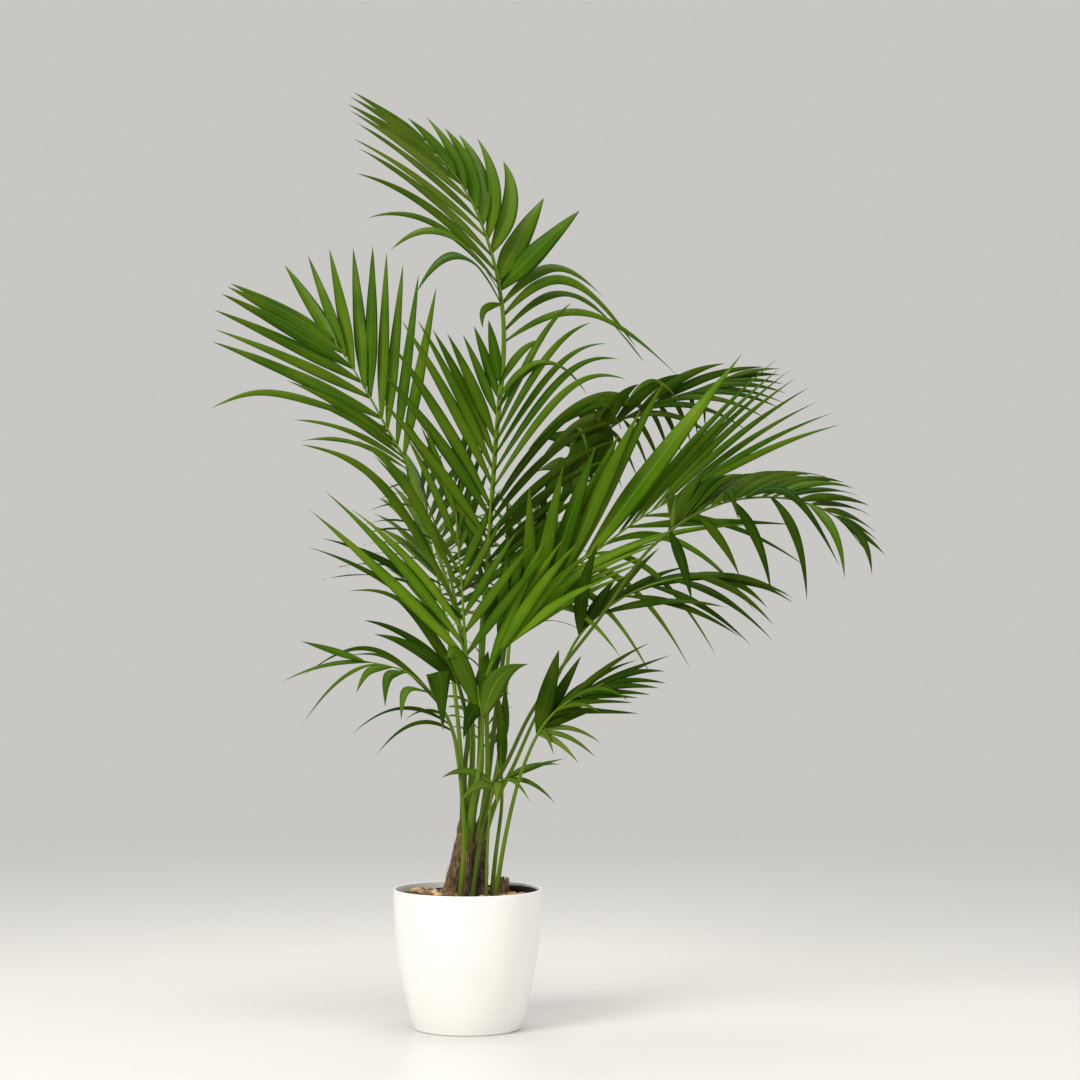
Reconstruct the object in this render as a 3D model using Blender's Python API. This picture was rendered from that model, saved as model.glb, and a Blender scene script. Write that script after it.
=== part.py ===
"""A clump of kentia palm in a plain white pot, in metres with +Z up.

The origin is the centre of the pot's flat underside. Every frond is a curved rib
with rows of leaflets, and a leaflet runs from a share of the rib to a point on the
line that the row's tips follow. A leaflet that would cut another frond is moved in
depth, or made shorter, until it clears it.
"""

from dataclasses import dataclass
from math import cos, pi, radians, sin

import bmesh
import bpy
import numpy as np
from mathutils.bvhtree import BVHTree

# Pot: outer radius against height, from the foot to the rim.
POT_PROFILE = (
    (0.0970, 0.0000),
    (0.1020, 0.0040),
    (0.1110, 0.0320),
    (0.1230, 0.0820),
    (0.1340, 0.1450),
    (0.1395, 0.2100),
    (0.1410, 0.2655),
)
POT_WALL = 0.0035
POT_FLOOR = 0.006
POT_SIDES = 32

# Black nursery pot inside the white one.
INNER_RIM_HEIGHT = 0.2580
INNER_RIM_RADIUS = 0.1290
INNER_FOOT_RADIUS = 0.0960
INNER_WALL = 0.0025
INNER_FOOT = 0.0400
INNER_SHIFT = 0.004
INNER_LEAN = 0.045

# Filling: level under the stems, sunk towards the back on the right.
SOIL_LEVEL = 0.2530
SOIL_DIP = 0.0130
SOIL_DIP_CENTRE = (0.102, 0.046)
SOIL_DIP_REACH = 0.045
SOIL_RINGS = 3
PEBBLE_COUNT = 11
PEBBLE_SEED = 5

# A node keeps this far from its neighbour.
CLEARANCE = 0.0003

# Leaflets.
LEAF_THICKNESS_SHARE = 0.0125
LEAF_THINNEST = 0.0015
LEAF_ROOT_SHARE = 0.26
LEAF_WIDEST_AT = 0.30
LEAF_FULLNESS = 1.7
LEAF_TAPER = 0.85
TIP_DRIFT = (0.005, 0.030, 0.005)
PLACE_DRIFT = 0.25
WIDTH_DRIFT = 0.12
DEPTH_STEPS = (0.0, 0.012, -0.012, 0.024, -0.024, 0.036, -0.036, 0.05, -0.05)
LENGTH_STEPS = (1.0, 0.82, 0.66)
EASE_STEPS = (1.0, 0.8, 0.6, 0.4, 0.2)

STEM_SIDES = 6
RIB_SIDES = 4
STEM_SPACING = 0.055
RIB_SPACING = 0.05
TRUNK_SIDES = 12
TUBE_FACING = (0.31, -0.92, 0.24)
TANGENT_REACH = 0.001
RIB_END_RADIUS = 0.0009

WHITE = (0.86, 0.85, 0.82)
BLACK = (0.012, 0.012, 0.012)
EARTH = (0.060, 0.038, 0.024)
SHEATH = (0.145, 0.085, 0.045)
STALK = (0.085, 0.200, 0.022)
MIDDLE = (0.048, 0.130, 0.012)
DARK = (0.022, 0.068, 0.010)


@dataclass(frozen=True)
class Row:
    """Leaflets spread evenly along a share of one rib.

    Args:
        count: Number of leaflets.
        first: Share of the rib where the first leaflet stands.
        last: Share of the rib where the last one stands.
        tips: Points that the tips follow, from the first leaflet to the last.
        width: Widest part of the first and of the last leaflet.
        bow: Height of the bend against the length, first and last.
        way: Direction that the leaflet bends towards.
        bend: Share of the leaflet's chord under the bend.
        crook: Sharpness of the bend, from 0.67 for an even arch to 1.
        slim: How far the tip is drawn out, from 1 for a plain point.
        face: Direction that the blade faces, where it isn't the frond's own.
    """

    count: int
    first: float
    last: float
    tips: tuple
    width: tuple = (0.022, 0.022)
    bow: tuple = (0.05, 0.05)
    way: tuple = (0.0, 0.0, 1.0)
    bend: float = 0.5
    crook: float = 0.67
    slim: float = 1.0
    face: tuple = ()


@dataclass(frozen=True)
class Frond:
    """One frond: a stalk from a trunk or the soil, a rib and its rows of leaflets.

    Args:
        name: Plain name of the frond.
        root: Trunk that it grows from and its place on the top, or soil and a point.
        stalk: Points of the bare stalk above the root.
        rib: Points of the leafy rib, from the first leaflet to the end.
        rows: Rows of leaflets.
        colour: Colour of the blades.
        radius: Radius of the stalk at its root and of the rib at its start.
        face: Direction that the blades face.
        split: Share of the rib where the blade is parted into two nodes, or 0.
        seed: Start of the small chances in where the tips lie.
    """

    name: str
    root: tuple
    stalk: tuple
    rib: tuple
    rows: tuple
    colour: tuple = MIDDLE
    radius: tuple = (0.0048, 0.0036)
    face: tuple = (0.0, -1.0, 0.25)
    split: float = 0.0
    seed: int = 1


@dataclass(frozen=True)
class Trunk:
    """A short fibrous trunk: foot and top as (x, y), radii of both and its height."""

    foot: tuple
    top: tuple
    foot_radius: float
    top_radius: float
    height: float
    flare: float = 0.004


TRUNKS = {
    "trunk_left": Trunk((-0.0335, -0.004), (-0.003, 0.0), 0.0165, 0.0145, 0.124),
    "trunk_right": Trunk((0.0262, 0.0), (0.0275, 0.0), 0.0108, 0.0096, 0.109),
    "trunk_back": Trunk((0.012, 0.05), (0.016, 0.048), 0.013, 0.0127, 0.11),
    "trunk_middle": Trunk((-0.0006, -0.034), (0.0, -0.031), 0.0062, 0.005, 0.09),
    "trunk_stub": Trunk((0.069, 0.01), (0.071, 0.01), 0.0075, 0.008, 0.034),
}

FRONDS = (
    Frond(
        name="top",
        root=("trunk_left", 0.0095, 60),
        stalk=(
            (0.025, 0.02, 0.49), (0.025, 0.03, 0.624), (0.034, 0.05, 0.834), (0.044, 0.065, 0.988),
            (0.053, 0.078, 1.123), (0.067, 0.085, 1.243),
        ),
        rib=(
            (0.068, 0.085, 1.297), (0.061, 0.08, 1.409), (0.034, 0.07, 1.516),
            (-0.01, 0.055, 1.609), (-0.082, 0.03, 1.696),
        ),
        rows=(
            Row(
                3, 0.02, 0.14, width=(0.017, 0.022), bow=(0.4, 0.55), bend=0.45, crook=0.8,
                tips=((0.413, 0.19, 1.254), (0.345, 0.28, 1.289), (0.326, 0.22, 1.311)),
            ),
            Row(
                1, 0.2, 0.2, width=(0.024, 0.024), bow=(0.42, 0.42), crook=0.8,
                tips=((0.263, 0.26, 1.413),),
            ),
            Row(
                2, 0.25, 0.32, width=(0.041, 0.041), bow=(0.03, 0.03),
                tips=((0.214, 0.17, 1.575), (0.144, 0.2, 1.607)),
            ),
            Row(
                6, 0.42, 0.78, width=(0.035, 0.021), bow=(0.22, 0.12), way=(1.0, 0.0, 0.3),
                tips=(
                    (0.065, 0.23, 1.676), (0.01, 0.21, 1.719), (-0.025, 0.19, 1.73),
                    (-0.049, 0.15, 1.733), (-0.085, 0.1, 1.755), (-0.114, 0.06, 1.742),
                ),
            ),
            Row(
                4, 0.19, 0.335, width=(0.017, 0.017), bow=(0.58, 0.17),
                tips=(
                    (-0.089, -0.13, 1.387), (-0.136, -0.16, 1.464), (-0.178, -0.15, 1.524),
                    (-0.2, -0.15, 1.608),
                ),
            ),
            Row(
                7, 0.42, 0.99, width=(0.014, 0.014), bow=(0.1, 0.02), face=(0.0, 1.0, -0.1),
                tips=(
                    (-0.202, -0.15, 1.654), (-0.213, -0.12, 1.718), (-0.222, -0.1, 1.747),
                    (-0.21, -0.05, 1.776),
                ),
            ),
            Row(
                1, 0.2, 0.2, width=(0.017, 0.017), bow=(0.55, 0.55), way=(-0.75, 0.0, 0.65),
                crook=0.8,
                tips=((0.027, 0.05, 1.335),),
            ),
        ),
        radius=(0.0044, 0.0048),
        split=0.37,
    ),
    Frond(
        name="left",
        root=("trunk_left", 0.0095, 180),
        stalk=(
            (0.004, 0.01, 0.453), (0.008, 0.03, 0.566), (-0.008, 0.06, 0.718),
            (-0.055, 0.09, 0.891), (-0.099, 0.11, 1.027),
        ),
        rib=(
            (-0.114, 0.115, 1.062), (-0.15, 0.12, 1.13), (-0.193, 0.125, 1.208),
            (-0.232, 0.13, 1.274), (-0.263, 0.13, 1.319),
        ),
        rows=(
            Row(
                9, 0.08, 0.98, width=(0.024, 0.024), bow=(0.02, 0.02),
                tips=(
                    (-0.069, 0.27, 1.44), (-0.139, 0.32, 1.488), (-0.199, 0.31, 1.519),
                    (-0.283, 0.31, 1.511), (-0.374, 0.27, 1.479),
                ),
            ),
            Row(
                6, 0.42, 1.0, width=(0.024, 0.024), bow=(0.04, 0.04),
                tips=(
                    (-0.486, -0.01, 1.305), (-0.486, 0.01, 1.357), (-0.464, 0.04, 1.406),
                    (-0.456, 0.07, 1.421),
                ),
            ),
            Row(
                1, 0.33, 0.33, width=(0.015, 0.015), bow=(0.17, 0.17), bend=0.7, crook=0.95,
                tips=((-0.484, -0.03, 1.175),),
            ),
            Row(
                3, 0.0, 0.28, width=(0.014, 0.014), bow=(0.2, 0.03),
                tips=((-0.317, -0.03, 1.114), (-0.344, 0.0, 1.223), (-0.321, 0.03, 1.236)),
            ),
        ),
        radius=(0.0044, 0.0034),
    ),
    Frond(
        name="centre",
        root=("trunk_left", 0.0095, 0),
        stalk=((0.022, -0.025, 0.494), (0.025, -0.045, 0.59), (0.023, -0.065, 0.704)),
        rib=(
            (0.027, -0.07, 0.742), (0.037, -0.09, 0.874), (0.046, -0.11, 1.005),
            (0.054, -0.13, 1.126), (0.062, -0.14, 1.228),
        ),
        rows=(
            Row(
                8, 0.2, 0.99, width=(0.024, 0.024), bow=(0.08, 0.06),
                tips=(
                    (-0.084, -0.18, 1.146), (-0.16, -0.21, 1.195), (-0.115, -0.22, 1.33),
                    (-0.033, -0.2, 1.308), (0.045, -0.14, 1.336),
                ),
            ),
            Row(
                4, 0.25, 0.5, width=(0.017, 0.016), bow=(0.06, 0.2),
                tips=((0.237, -0.01, 1.021), (0.282, -0.02, 1.097), (0.257, -0.03, 1.199)),
            ),
            Row(
                3, 0.58, 0.8, width=(0.015, 0.015), bow=(0.36, 0.1), bend=0.6, crook=0.8,
                tips=((0.303, -0.03, 1.231), (0.267, -0.04, 1.305), (0.202, -0.08, 1.377)),
            ),
            Row(
                2, 0.88, 0.97, width=(0.014, 0.014), bow=(0.72, 0.34),
                tips=((0.225, -0.04, 1.206), (0.149, -0.1, 1.299)),
            ),
            Row(
                3, 0.04, 0.2, width=(0.025, 0.025), bow=(0.1, 0.1),
                tips=((0.149, -0.02, 0.915), (0.191, -0.02, 0.949), (0.237, -0.02, 0.996)),
            ),
        ),
        radius=(0.0044, 0.004),
    ),
    Frond(
        name="front_left",
        root=("trunk_left", 0.0095, 300),
        stalk=((0.009, -0.045, 0.476), (0.012, -0.06, 0.562), (0.008, -0.075, 0.629)),
        rib=(
            (0.006, -0.08, 0.648), (-0.002, -0.1, 0.743), (-0.009, -0.12, 0.855),
            (-0.017, -0.125, 0.949), (-0.02, -0.13, 1.042),
        ),
        rows=(
            Row(
                3, 0.13, 0.27, width=(0.024, 0.019), bow=(0.05, 0.13), slim=1.25,
                tips=((-0.29, -0.22, 0.992), (-0.256, -0.25, 1.021), (-0.21, -0.2, 0.987)),
            ),
            Row(
                2, 0.24, 0.32, width=(0.015, 0.015), bow=(0.14, 0.16), slim=1.3,
                tips=((-0.298, -0.11, 0.919), (-0.276, -0.08, 0.934)),
            ),
            Row(
                2, 0.35, 0.44, width=(0.018, 0.018), bow=(0.2, 0.12), way=(0.7, 0.0, 0.7),
                bend=0.72, crook=0.85,
                tips=((-0.3, -0.27, 1.106), (-0.195, -0.27, 1.11)),
            ),
            Row(
                3, 0.56, 0.99, width=(0.014, 0.014), bow=(0.12, 0.05),
                tips=(
                    (-0.171, -0.2, 1.085), (-0.111, -0.2, 1.122), (-0.076, -0.18, 1.141),
                    (-0.026, -0.14, 1.131),
                ),
            ),
            Row(
                1, 0.15, 0.15, width=(0.01, 0.01), bow=(0.22, 0.22), bend=0.62, crook=0.92,
                tips=((-0.217, -0.14, 0.831),),
            ),
            Row(
                7, 0.16, 0.98, width=(0.015, 0.015), bow=(0.04, 0.04),
                tips=(
                    (0.108, -0.06, 0.839), (0.095, -0.06, 0.93), (0.074, -0.06, 1.024),
                    (0.033, -0.08, 1.118), (0.006, -0.08, 1.159),
                ),
            ),
        ),
        radius=(0.0044, 0.0034),
    ),
    Frond(
        name="right_tall",
        root=("trunk_right", 0.0052, 200),
        stalk=((0.038, -0.04, 0.476), (0.038, -0.06, 0.572), (0.037, -0.08, 0.648)),
        rib=(
            (0.038, -0.085, 0.675), (0.101, -0.1, 0.776), (0.175, -0.115, 0.859),
            (0.25, -0.12, 0.915), (0.343, -0.12, 0.982), (0.446, -0.12, 1.035),
        ),
        rows=(
            Row(
                1, 0.1, 0.1, width=(0.022, 0.022), bow=(0.03, 0.03),
                tips=((0.06, -0.14, 0.945),),
            ),
            Row(
                4, 0.27, 0.46, width=(0.029, 0.031), bow=(0.03, 0.05),
                tips=(
                    (0.116, -0.17, 1.03), (0.221, -0.17, 1.093), (0.297, -0.17, 1.141),
                    (0.363, -0.18, 1.222),
                ),
            ),
            Row(
                2, 0.2, 0.38, width=(0.02, 0.02), bow=(0.08, 0.08),
                tips=((0.073, -0.02, 1.006), (0.233, -0.03, 1.089)),
            ),
            Row(
                1, 0.53, 0.53, width=(0.042, 0.042), bow=(0.02, 0.02), slim=1.25,
                tips=((0.519, -0.17, 1.274),),
            ),
            Row(
                5, 0.66, 0.97, width=(0.016, 0.016), bow=(0.07, 0.07), slim=1.15,
                tips=((0.588, -0.04, 1.271), (0.639, -0.07, 1.227), (0.71, -0.05, 1.147)),
            ),
            Row(
                3, 0.0, 0.1, width=(0.027, 0.027), bow=(0.1, 0.12),
                tips=((0.19, -0.175, 0.93), (0.234, -0.17, 0.9), (0.26, -0.16, 0.86)),
            ),
            Row(
                4, 0.1, 0.42, width=(0.013, 0.013), bow=(0.1, 0.14),
                tips=(
                    (0.313, -0.15, 0.863), (0.353, -0.15, 0.915), (0.402, -0.15, 0.947),
                    (0.532, -0.14, 0.956),
                ),
            ),
            Row(
                5, 0.3, 0.62, width=(0.014, 0.017), bow=(0.3, 0.42),
                tips=(
                    (0.288, -0.08, 0.712), (0.344, -0.06, 0.679), (0.426, -0.03, 0.687),
                    (0.467, -0.08, 0.712), (0.547, -0.04, 0.792),
                ),
            ),
            Row(
                2, 0.7, 0.76, width=(0.014, 0.014), bow=(0.05, 0.2),
                tips=((0.61, -0.08, 0.956), (0.636, -0.1, 0.881)),
            ),
        ),
        radius=(0.004, 0.004),
        split=0.5,
    ),
    Frond(
        name="right_arch",
        root=("soil", 0.0105, -0.055),
        stalk=(
            (0.027, -0.05, 0.373), (0.042, -0.056, 0.445), (0.078, -0.07, 0.516),
            (0.119, -0.09, 0.602), (0.175, -0.115, 0.687), (0.249, -0.15, 0.785),
            (0.322, -0.2, 0.893), (0.362, -0.22, 0.936),
        ),
        rib=(
            (0.375, -0.22, 0.945), (0.431, -0.23, 0.981), (0.504, -0.23, 1.005),
            (0.597, -0.22, 1.005), (0.681, -0.2, 0.974), (0.736, -0.19, 0.915),
        ),
        rows=(
            Row(
                3, 0.0, 0.05, width=(0.026, 0.026), bow=(0.3, 0.3),
                tips=((0.445, -0.18, 1.048), (0.479, -0.17, 1.054), (0.516, -0.16, 1.052)),
            ),
            Row(
                8, 0.03, 0.85, width=(0.025, 0.025), bow=(0.24, 0.12),
                tips=(
                    (0.534, -0.12, 1.049), (0.664, -0.08, 1.047), (0.745, -0.1, 1.005),
                    (0.778, -0.17, 0.897),
                ),
            ),
            Row(
                6, 0.02, 0.8, width=(0.021, 0.015), bow=(0.08, 0.3), way=(0.6, 0.0, 0.8),
                tips=(
                    (0.41, -0.26, 0.819), (0.503, -0.28, 0.866), (0.557, -0.29, 0.832),
                    (0.614, -0.3, 0.823), (0.692, -0.3, 0.858), (0.739, -0.28, 0.87),
                ),
            ),
            Row(
                3, 0.03, 0.42, width=(0.019, 0.019), bow=(0.95, 0.5), crook=0.8,
                tips=((0.377, -0.3, 0.966), (0.494, -0.33, 0.964), (0.674, -0.33, 0.876)),
            ),
        ),
        colour=DARK,
        radius=(0.0042, 0.0028),
        face=(0.0, -0.85, 0.5),
        split=0.48,
        seed=2,
    ),
    Frond(
        name="right_back",
        root=("trunk_back", 0.0082, 0),
        stalk=(
            (0.042, 0.06, 0.507), (0.061, 0.1, 0.659), (0.083, 0.14, 0.813), (0.118, 0.18, 0.961),
            (0.162, 0.2, 1.044),
        ),
        rib=(
            (0.181, 0.205, 1.068), (0.253, 0.22, 1.135), (0.336, 0.23, 1.187), (0.435, 0.24, 1.223),
            (0.53, 0.24, 1.259),
        ),
        rows=(
            Row(
                3, 0.02, 0.34, width=(0.016, 0.016), bow=(1.0, 0.7), crook=0.85,
                face=(0.0, 1.0, 0.1),
                tips=((0.236, 0.08, 1.075), (0.297, 0.11, 1.147), (0.419, 0.15, 1.188)),
            ),
            Row(
                4, 0.2, 0.5, width=(0.034, 0.034), bow=(0.16, 0.34), bend=0.42,
                face=(0.0, -1.0, 0.3),
                tips=(
                    (0.2, 0.12, 1.008), (0.163, 0.12, 1.031), (0.128, 0.12, 1.074),
                    (0.113, 0.12, 1.101),
                ),
            ),
            Row(
                3, 0.1, 0.34, width=(0.036, 0.036), bow=(0.12, 0.12), face=(0.0, -1.0, 0.1),
                tips=(
                    (0.138, 0.2, 0.999), (0.162, 0.22, 0.981), (0.19, 0.24, 1.005),
                    (0.237, 0.25, 1.049),
                ),
            ),
            Row(
                3, 0.02, 0.26, width=(0.034, 0.034), bow=(0.15, 0.25), face=(0.0, -1.0, 0.2),
                tips=((0.13, 0.26, 1.069), (0.148, 0.26, 1.129), (0.202, 0.26, 1.192)),
            ),
            Row(
                4, 0.22, 0.58, width=(0.024, 0.016), bow=(0.24, 0.16), slim=1.25,
                face=(0.0, -1.0, 0.1),
                tips=(
                    (0.334, 0.16, 1.233), (0.42, 0.16, 1.251), (0.509, 0.18, 1.273),
                    (0.583, 0.2, 1.267),
                ),
            ),
            Row(
                5, 0.4, 0.95, width=(0.014, 0.014), bow=(0.3, 0.1), slim=1.2,
                tips=(
                    (0.497, 0.15, 1.123), (0.607, 0.16, 1.173), (0.623, 0.18, 1.224),
                    (0.613, 0.24, 1.271),
                ),
            ),
            Row(
                4, 0.1, 0.8, width=(0.01, 0.01), bow=(0.2, 0.25),
                tips=(
                    (0.258, 0.28, 1.01), (0.338, 0.3, 1.054), (0.419, 0.32, 1.087),
                    (0.466, 0.3, 1.154),
                ),
            ),
        ),
        colour=DARK,
        face=(0.0, -0.85, 0.5),
        split=0.6,
    ),
    Frond(
        name="right_low",
        root=("trunk_right", 0.0052, 20),
        stalk=(
            (0.056, -0.015, 0.436), (0.089, -0.03, 0.504), (0.127, -0.05, 0.59),
            (0.168, -0.07, 0.666), (0.198, -0.085, 0.727),
        ),
        rib=(
            (0.209, -0.09, 0.746), (0.258, -0.1, 0.799), (0.334, -0.11, 0.842),
            (0.419, -0.11, 0.861), (0.503, -0.1, 0.855),
        ),
        rows=(
            Row(
                3, 0.01, 0.1, width=(0.027, 0.02), bow=(0.1, 0.05), way=(-1.0, 0.0, 0.3),
                face=(0.0, -1.0, 0.1),
                tips=((0.246, -0.23, 0.93), (0.281, -0.16, 0.861), (0.357, -0.15, 0.917)),
            ),
            Row(
                5, 0.2, 0.95, width=(0.017, 0.017), bow=(0.18, 0.18),
                tips=((0.421, -0.06, 0.881), (0.585, -0.08, 0.836), (0.611, -0.09, 0.812)),
            ),
            Row(
                6, 0.2, 0.9, width=(0.016, 0.016), bow=(0.15, 0.25),
                tips=(
                    (0.485, -0.16, 0.802), (0.529, -0.17, 0.728), (0.576, -0.15, 0.75),
                    (0.569, -0.12, 0.796),
                ),
            ),
        ),
        colour=DARK,
        radius=(0.0036, 0.0026),
        face=(0.0, -0.8, 0.6),
    ),
    Frond(
        name="right_small",
        root=("soil", 0.0535, -0.06),
        stalk=(
            (0.07, -0.085, 0.357), (0.088, -0.11, 0.442), (0.106, -0.13, 0.505),
            (0.123, -0.145, 0.549),
        ),
        rib=(
            (0.131, -0.15, 0.564), (0.16, -0.16, 0.606), (0.203, -0.17, 0.639),
            (0.258, -0.175, 0.666),
        ),
        rows=(
            Row(
                2, 0.02, 0.1, width=(0.036, 0.025), bow=(0.04, 0.04),
                tips=((0.173, -0.2, 0.731), (0.216, -0.15, 0.716)),
            ),
            Row(
                3, 0.3, 0.6, width=(0.012, 0.012), bow=(0.16, 0.06), slim=1.3,
                tips=((0.32, -0.1, 0.707), (0.345, -0.12, 0.741), (0.378, -0.14, 0.716)),
            ),
            Row(
                5, 0.4, 0.98, width=(0.01, 0.012), bow=(0.02, 0.16),
                tips=(
                    (0.314, -0.24, 0.615), (0.306, -0.24, 0.639), (0.34, -0.22, 0.644),
                    (0.366, -0.2, 0.661), (0.374, -0.19, 0.683),
                ),
            ),
            Row(
                3, 0.12, 0.4, width=(0.02, 0.02), bow=(0.1, 0.1),
                tips=((0.25, -0.12, 0.616), (0.275, -0.11, 0.644), (0.262, -0.1, 0.675)),
            ),
            Row(
                2, 0.3, 0.6, width=(0.01, 0.01), bow=(0.25, 0.3),
                tips=((0.253, -0.26, 0.611), (0.297, -0.26, 0.635)),
            ),
            Row(
                4, 0.03, 0.1, width=(0.012, 0.008), bow=(0.25, 0.3), face=(0.0, 1.0, -0.3),
                tips=(
                    (0.213, -0.21, 0.522), (0.24, -0.18, 0.529), (0.252, -0.12, 0.551),
                    (0.162, -0.19, 0.53),
                ),
            ),
        ),
        colour=DARK,
        radius=(0.0044, 0.003),
    ),
    Frond(
        name="front_small",
        root=("soil", 0.037, -0.075),
        stalk=((0.04, -0.08, 0.366), (0.044, -0.085, 0.442)),
        rib=((0.048, -0.09, 0.457), (0.057, -0.095, 0.473), (0.078, -0.1, 0.484)),
        rows=(
            Row(
                3, 0.1, 0.5, width=(0.017, 0.017), bow=(0.5, 0.3), face=(0.0, 1.0, -0.3),
                tips=(
                    (-0.011, -0.14, 0.443), (-0.047, -0.12, 0.484), (0.055, -0.16, 0.44),
                ),
            ),
            Row(
                4, 0.4, 0.98, width=(0.01, 0.01), bow=(0.5, 0.08), slim=1.2,
                tips=(
                    (0.121, -0.14, 0.443), (0.164, -0.12, 0.439), (0.177, -0.12, 0.512),
                    (0.187, -0.08, 0.52),
                ),
            ),
        ),
        colour=DARK,
        radius=(0.0028, 0.0022),
    ),
    Frond(
        name="left_low",
        root=("soil", -0.0125, -0.055),
        stalk=(
            (-0.005, -0.065, 0.361), (-0.009, -0.08, 0.458), (-0.016, -0.09, 0.521),
            (-0.019, -0.095, 0.548),
        ),
        rib=(
            (-0.023, -0.1, 0.563), (-0.038, -0.11, 0.603), (-0.065, -0.13, 0.645),
            (-0.115, -0.15, 0.687), (-0.192, -0.16, 0.707),
        ),
        rows=(
            Row(
                3, 0.02, 0.15, width=(0.009, 0.009), bow=(0.5, 0.35), slim=1.3,
                tips=(
                    (-0.172, -0.16, 0.526), (-0.212, -0.1, 0.568), (-0.113, -0.15, 0.599),
                ),
            ),
            Row(
                3, 0.42, 0.8, width=(0.023, 0.015), bow=(0.42, 0.3), way=(-0.5, 0.0, 0.9),
                crook=0.93,
                tips=(
                    (-0.116, -0.21, 0.601), (-0.148, -0.22, 0.624), (-0.203, -0.2, 0.65),
                ),
            ),
            Row(
                3, 0.85, 1.0, width=(0.007, 0.013), bow=(0.3, 0.02), slim=1.2,
                tips=(
                    (-0.297, -0.2, 0.591), (-0.347, -0.12, 0.665), (-0.309, -0.18, 0.742),
                ),
            ),
            Row(
                2, 0.25, 0.35, width=(0.01, 0.01), bow=(0.5, 0.3), crook=0.8, slim=1.2,
                tips=((-0.303, -0.11, 0.674), (-0.225, -0.13, 0.716)),
            ),
            Row(
                1, 0.34, 0.34, width=(0.054, 0.054), bow=(1.5, 1.5), crook=0.93,
                face=(0.15, -1.0, 0.2),
                tips=((-0.037, -0.19, 0.572),),
            ),
        ),
    ),
    Frond(
        name="left_dark",
        root=("trunk_left", 0.0095, 240),
        stalk=((-0.005, -0.058, 0.487), (0.002, -0.07, 0.572), (-0.007, -0.08, 0.633)),
        rib=((-0.012, -0.085, 0.648), (-0.027, -0.09, 0.686), (-0.04, -0.095, 0.714)),
        rows=(
            Row(
                2, 0.1, 0.4, width=(0.022, 0.017), bow=(0.2, 0.2),
                tips=((-0.172, -0.16, 0.758), (-0.192, -0.13, 0.781)),
            ),
            Row(
                1, 0.25, 0.25, width=(0.022, 0.022), bow=(0.14, 0.14), way=(0.7, 0.0, 0.7),
                slim=1.4,
                tips=((-0.156, -0.06, 0.836),),
            ),
        ),
        colour=DARK,
    ),
    Frond(
        name="front_low",
        root=("trunk_middle", 0.0, 0),
        stalk=((0.014, -0.085, 0.442), (0.026, -0.1, 0.518), (0.029, -0.105, 0.565)),
        rib=((0.03, -0.11, 0.59), (0.024, -0.115, 0.631), (0.022, -0.12, 0.659)),
        rows=(
            Row(
                1, 0.2, 0.2, width=(0.046, 0.046), bow=(0.44, 0.44), bend=0.8, crook=0.85,
                face=(-0.2, -1.0, 0.3),
                tips=((-0.034, -0.16, 0.713),),
            ),
            Row(
                1, 0.1, 0.1, width=(0.048, 0.048), bow=(0.46, 0.46), bend=0.3, crook=0.8, slim=1.3,
                face=(-0.2, 1.0, -0.3),
                tips=((0.119, -0.15, 0.7),),
            ),
            Row(
                2, 0.1, 0.6, width=(0.03, 0.03), bow=(0.1, 0.1), face=(0.2, -1.0, 0.3),
                tips=((0.062, -0.04, 0.686), (0.041, -0.04, 0.722)),
            ),
            Row(
                1, 0.4, 0.4, width=(0.028, 0.028), bow=(0.5, 0.5), face=(0.1, -1.0, 0.2),
                tips=((-0.007, -0.13, 0.561),),
            ),
        ),
    ),
    Frond(
        name="spear",
        root=("soil", 0.046, 0.01),
        stalk=((0.054, 0.012, 0.334), (0.064, 0.016, 0.412), (0.065, 0.018, 0.456)),
        rib=((0.065, 0.018, 0.468), (0.063, 0.018, 0.506), (0.063, 0.018, 0.538)),
        rows=(
            Row(
                2, 0.1, 0.9, width=(0.022, 0.022), bow=(0.06, 0.06), way=(1.0, 0.0, 0.0),
                tips=((0.056, 0.0, 0.644), (0.071, 0.02, 0.655)),
            ),
        ),
        radius=(0.004, 0.003),
    ),
    Frond(
        name="back_left_low",
        root=("trunk_back", 0.0082, 190),
        stalk=((0.007, 0.07, 0.506), (-0.002, 0.13, 0.658), (-0.019, 0.18, 0.769)),
        rib=(
            (-0.025, 0.19, 0.792), (-0.048, 0.24, 0.89), (-0.077, 0.27, 0.98), (-0.105, 0.28, 1.05),
        ),
        rows=(
            Row(
                7, 0.02, 0.95, width=(0.009, 0.009), bow=(0.22, 0.22), slim=1.2,
                face=(0.0, -0.5, 0.85),
                tips=(
                    (-0.286, 0.13, 0.856), (-0.21, 0.15, 0.914), (-0.206, 0.16, 0.969),
                    (-0.166, 0.18, 1.028),
                ),
            ),
            Row(
                6, 0.05, 0.95, width=(0.014, 0.014), bow=(0.1, 0.1),
                tips=(
                    (0.067, 0.38, 0.829), (0.056, 0.43, 0.93), (-0.006, 0.46, 1.053),
                    (-0.087, 0.44, 1.134),
                ),
            ),
        ),
        colour=DARK,
    ),
    Frond(
        name="back_right",
        root=("trunk_back", 0.0082, 90),
        stalk=((0.051, 0.1, 0.465), (0.066, 0.17, 0.577), (0.075, 0.25, 0.692)),
        rib=(
            (0.076, 0.27, 0.715), (0.086, 0.34, 0.801), (0.101, 0.42, 0.877), (0.121, 0.5, 0.938),
        ),
        rows=(
            Row(
                4, 0.1, 0.95, width=(0.028, 0.028), bow=(0.15, 0.15),
                tips=((-0.076, 0.48, 0.786), (-0.072, 0.6, 0.92), (0.027, 0.72, 1.037)),
            ),
            Row(
                5, 0.1, 0.95, width=(0.028, 0.028), bow=(0.2, 0.2),
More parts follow.
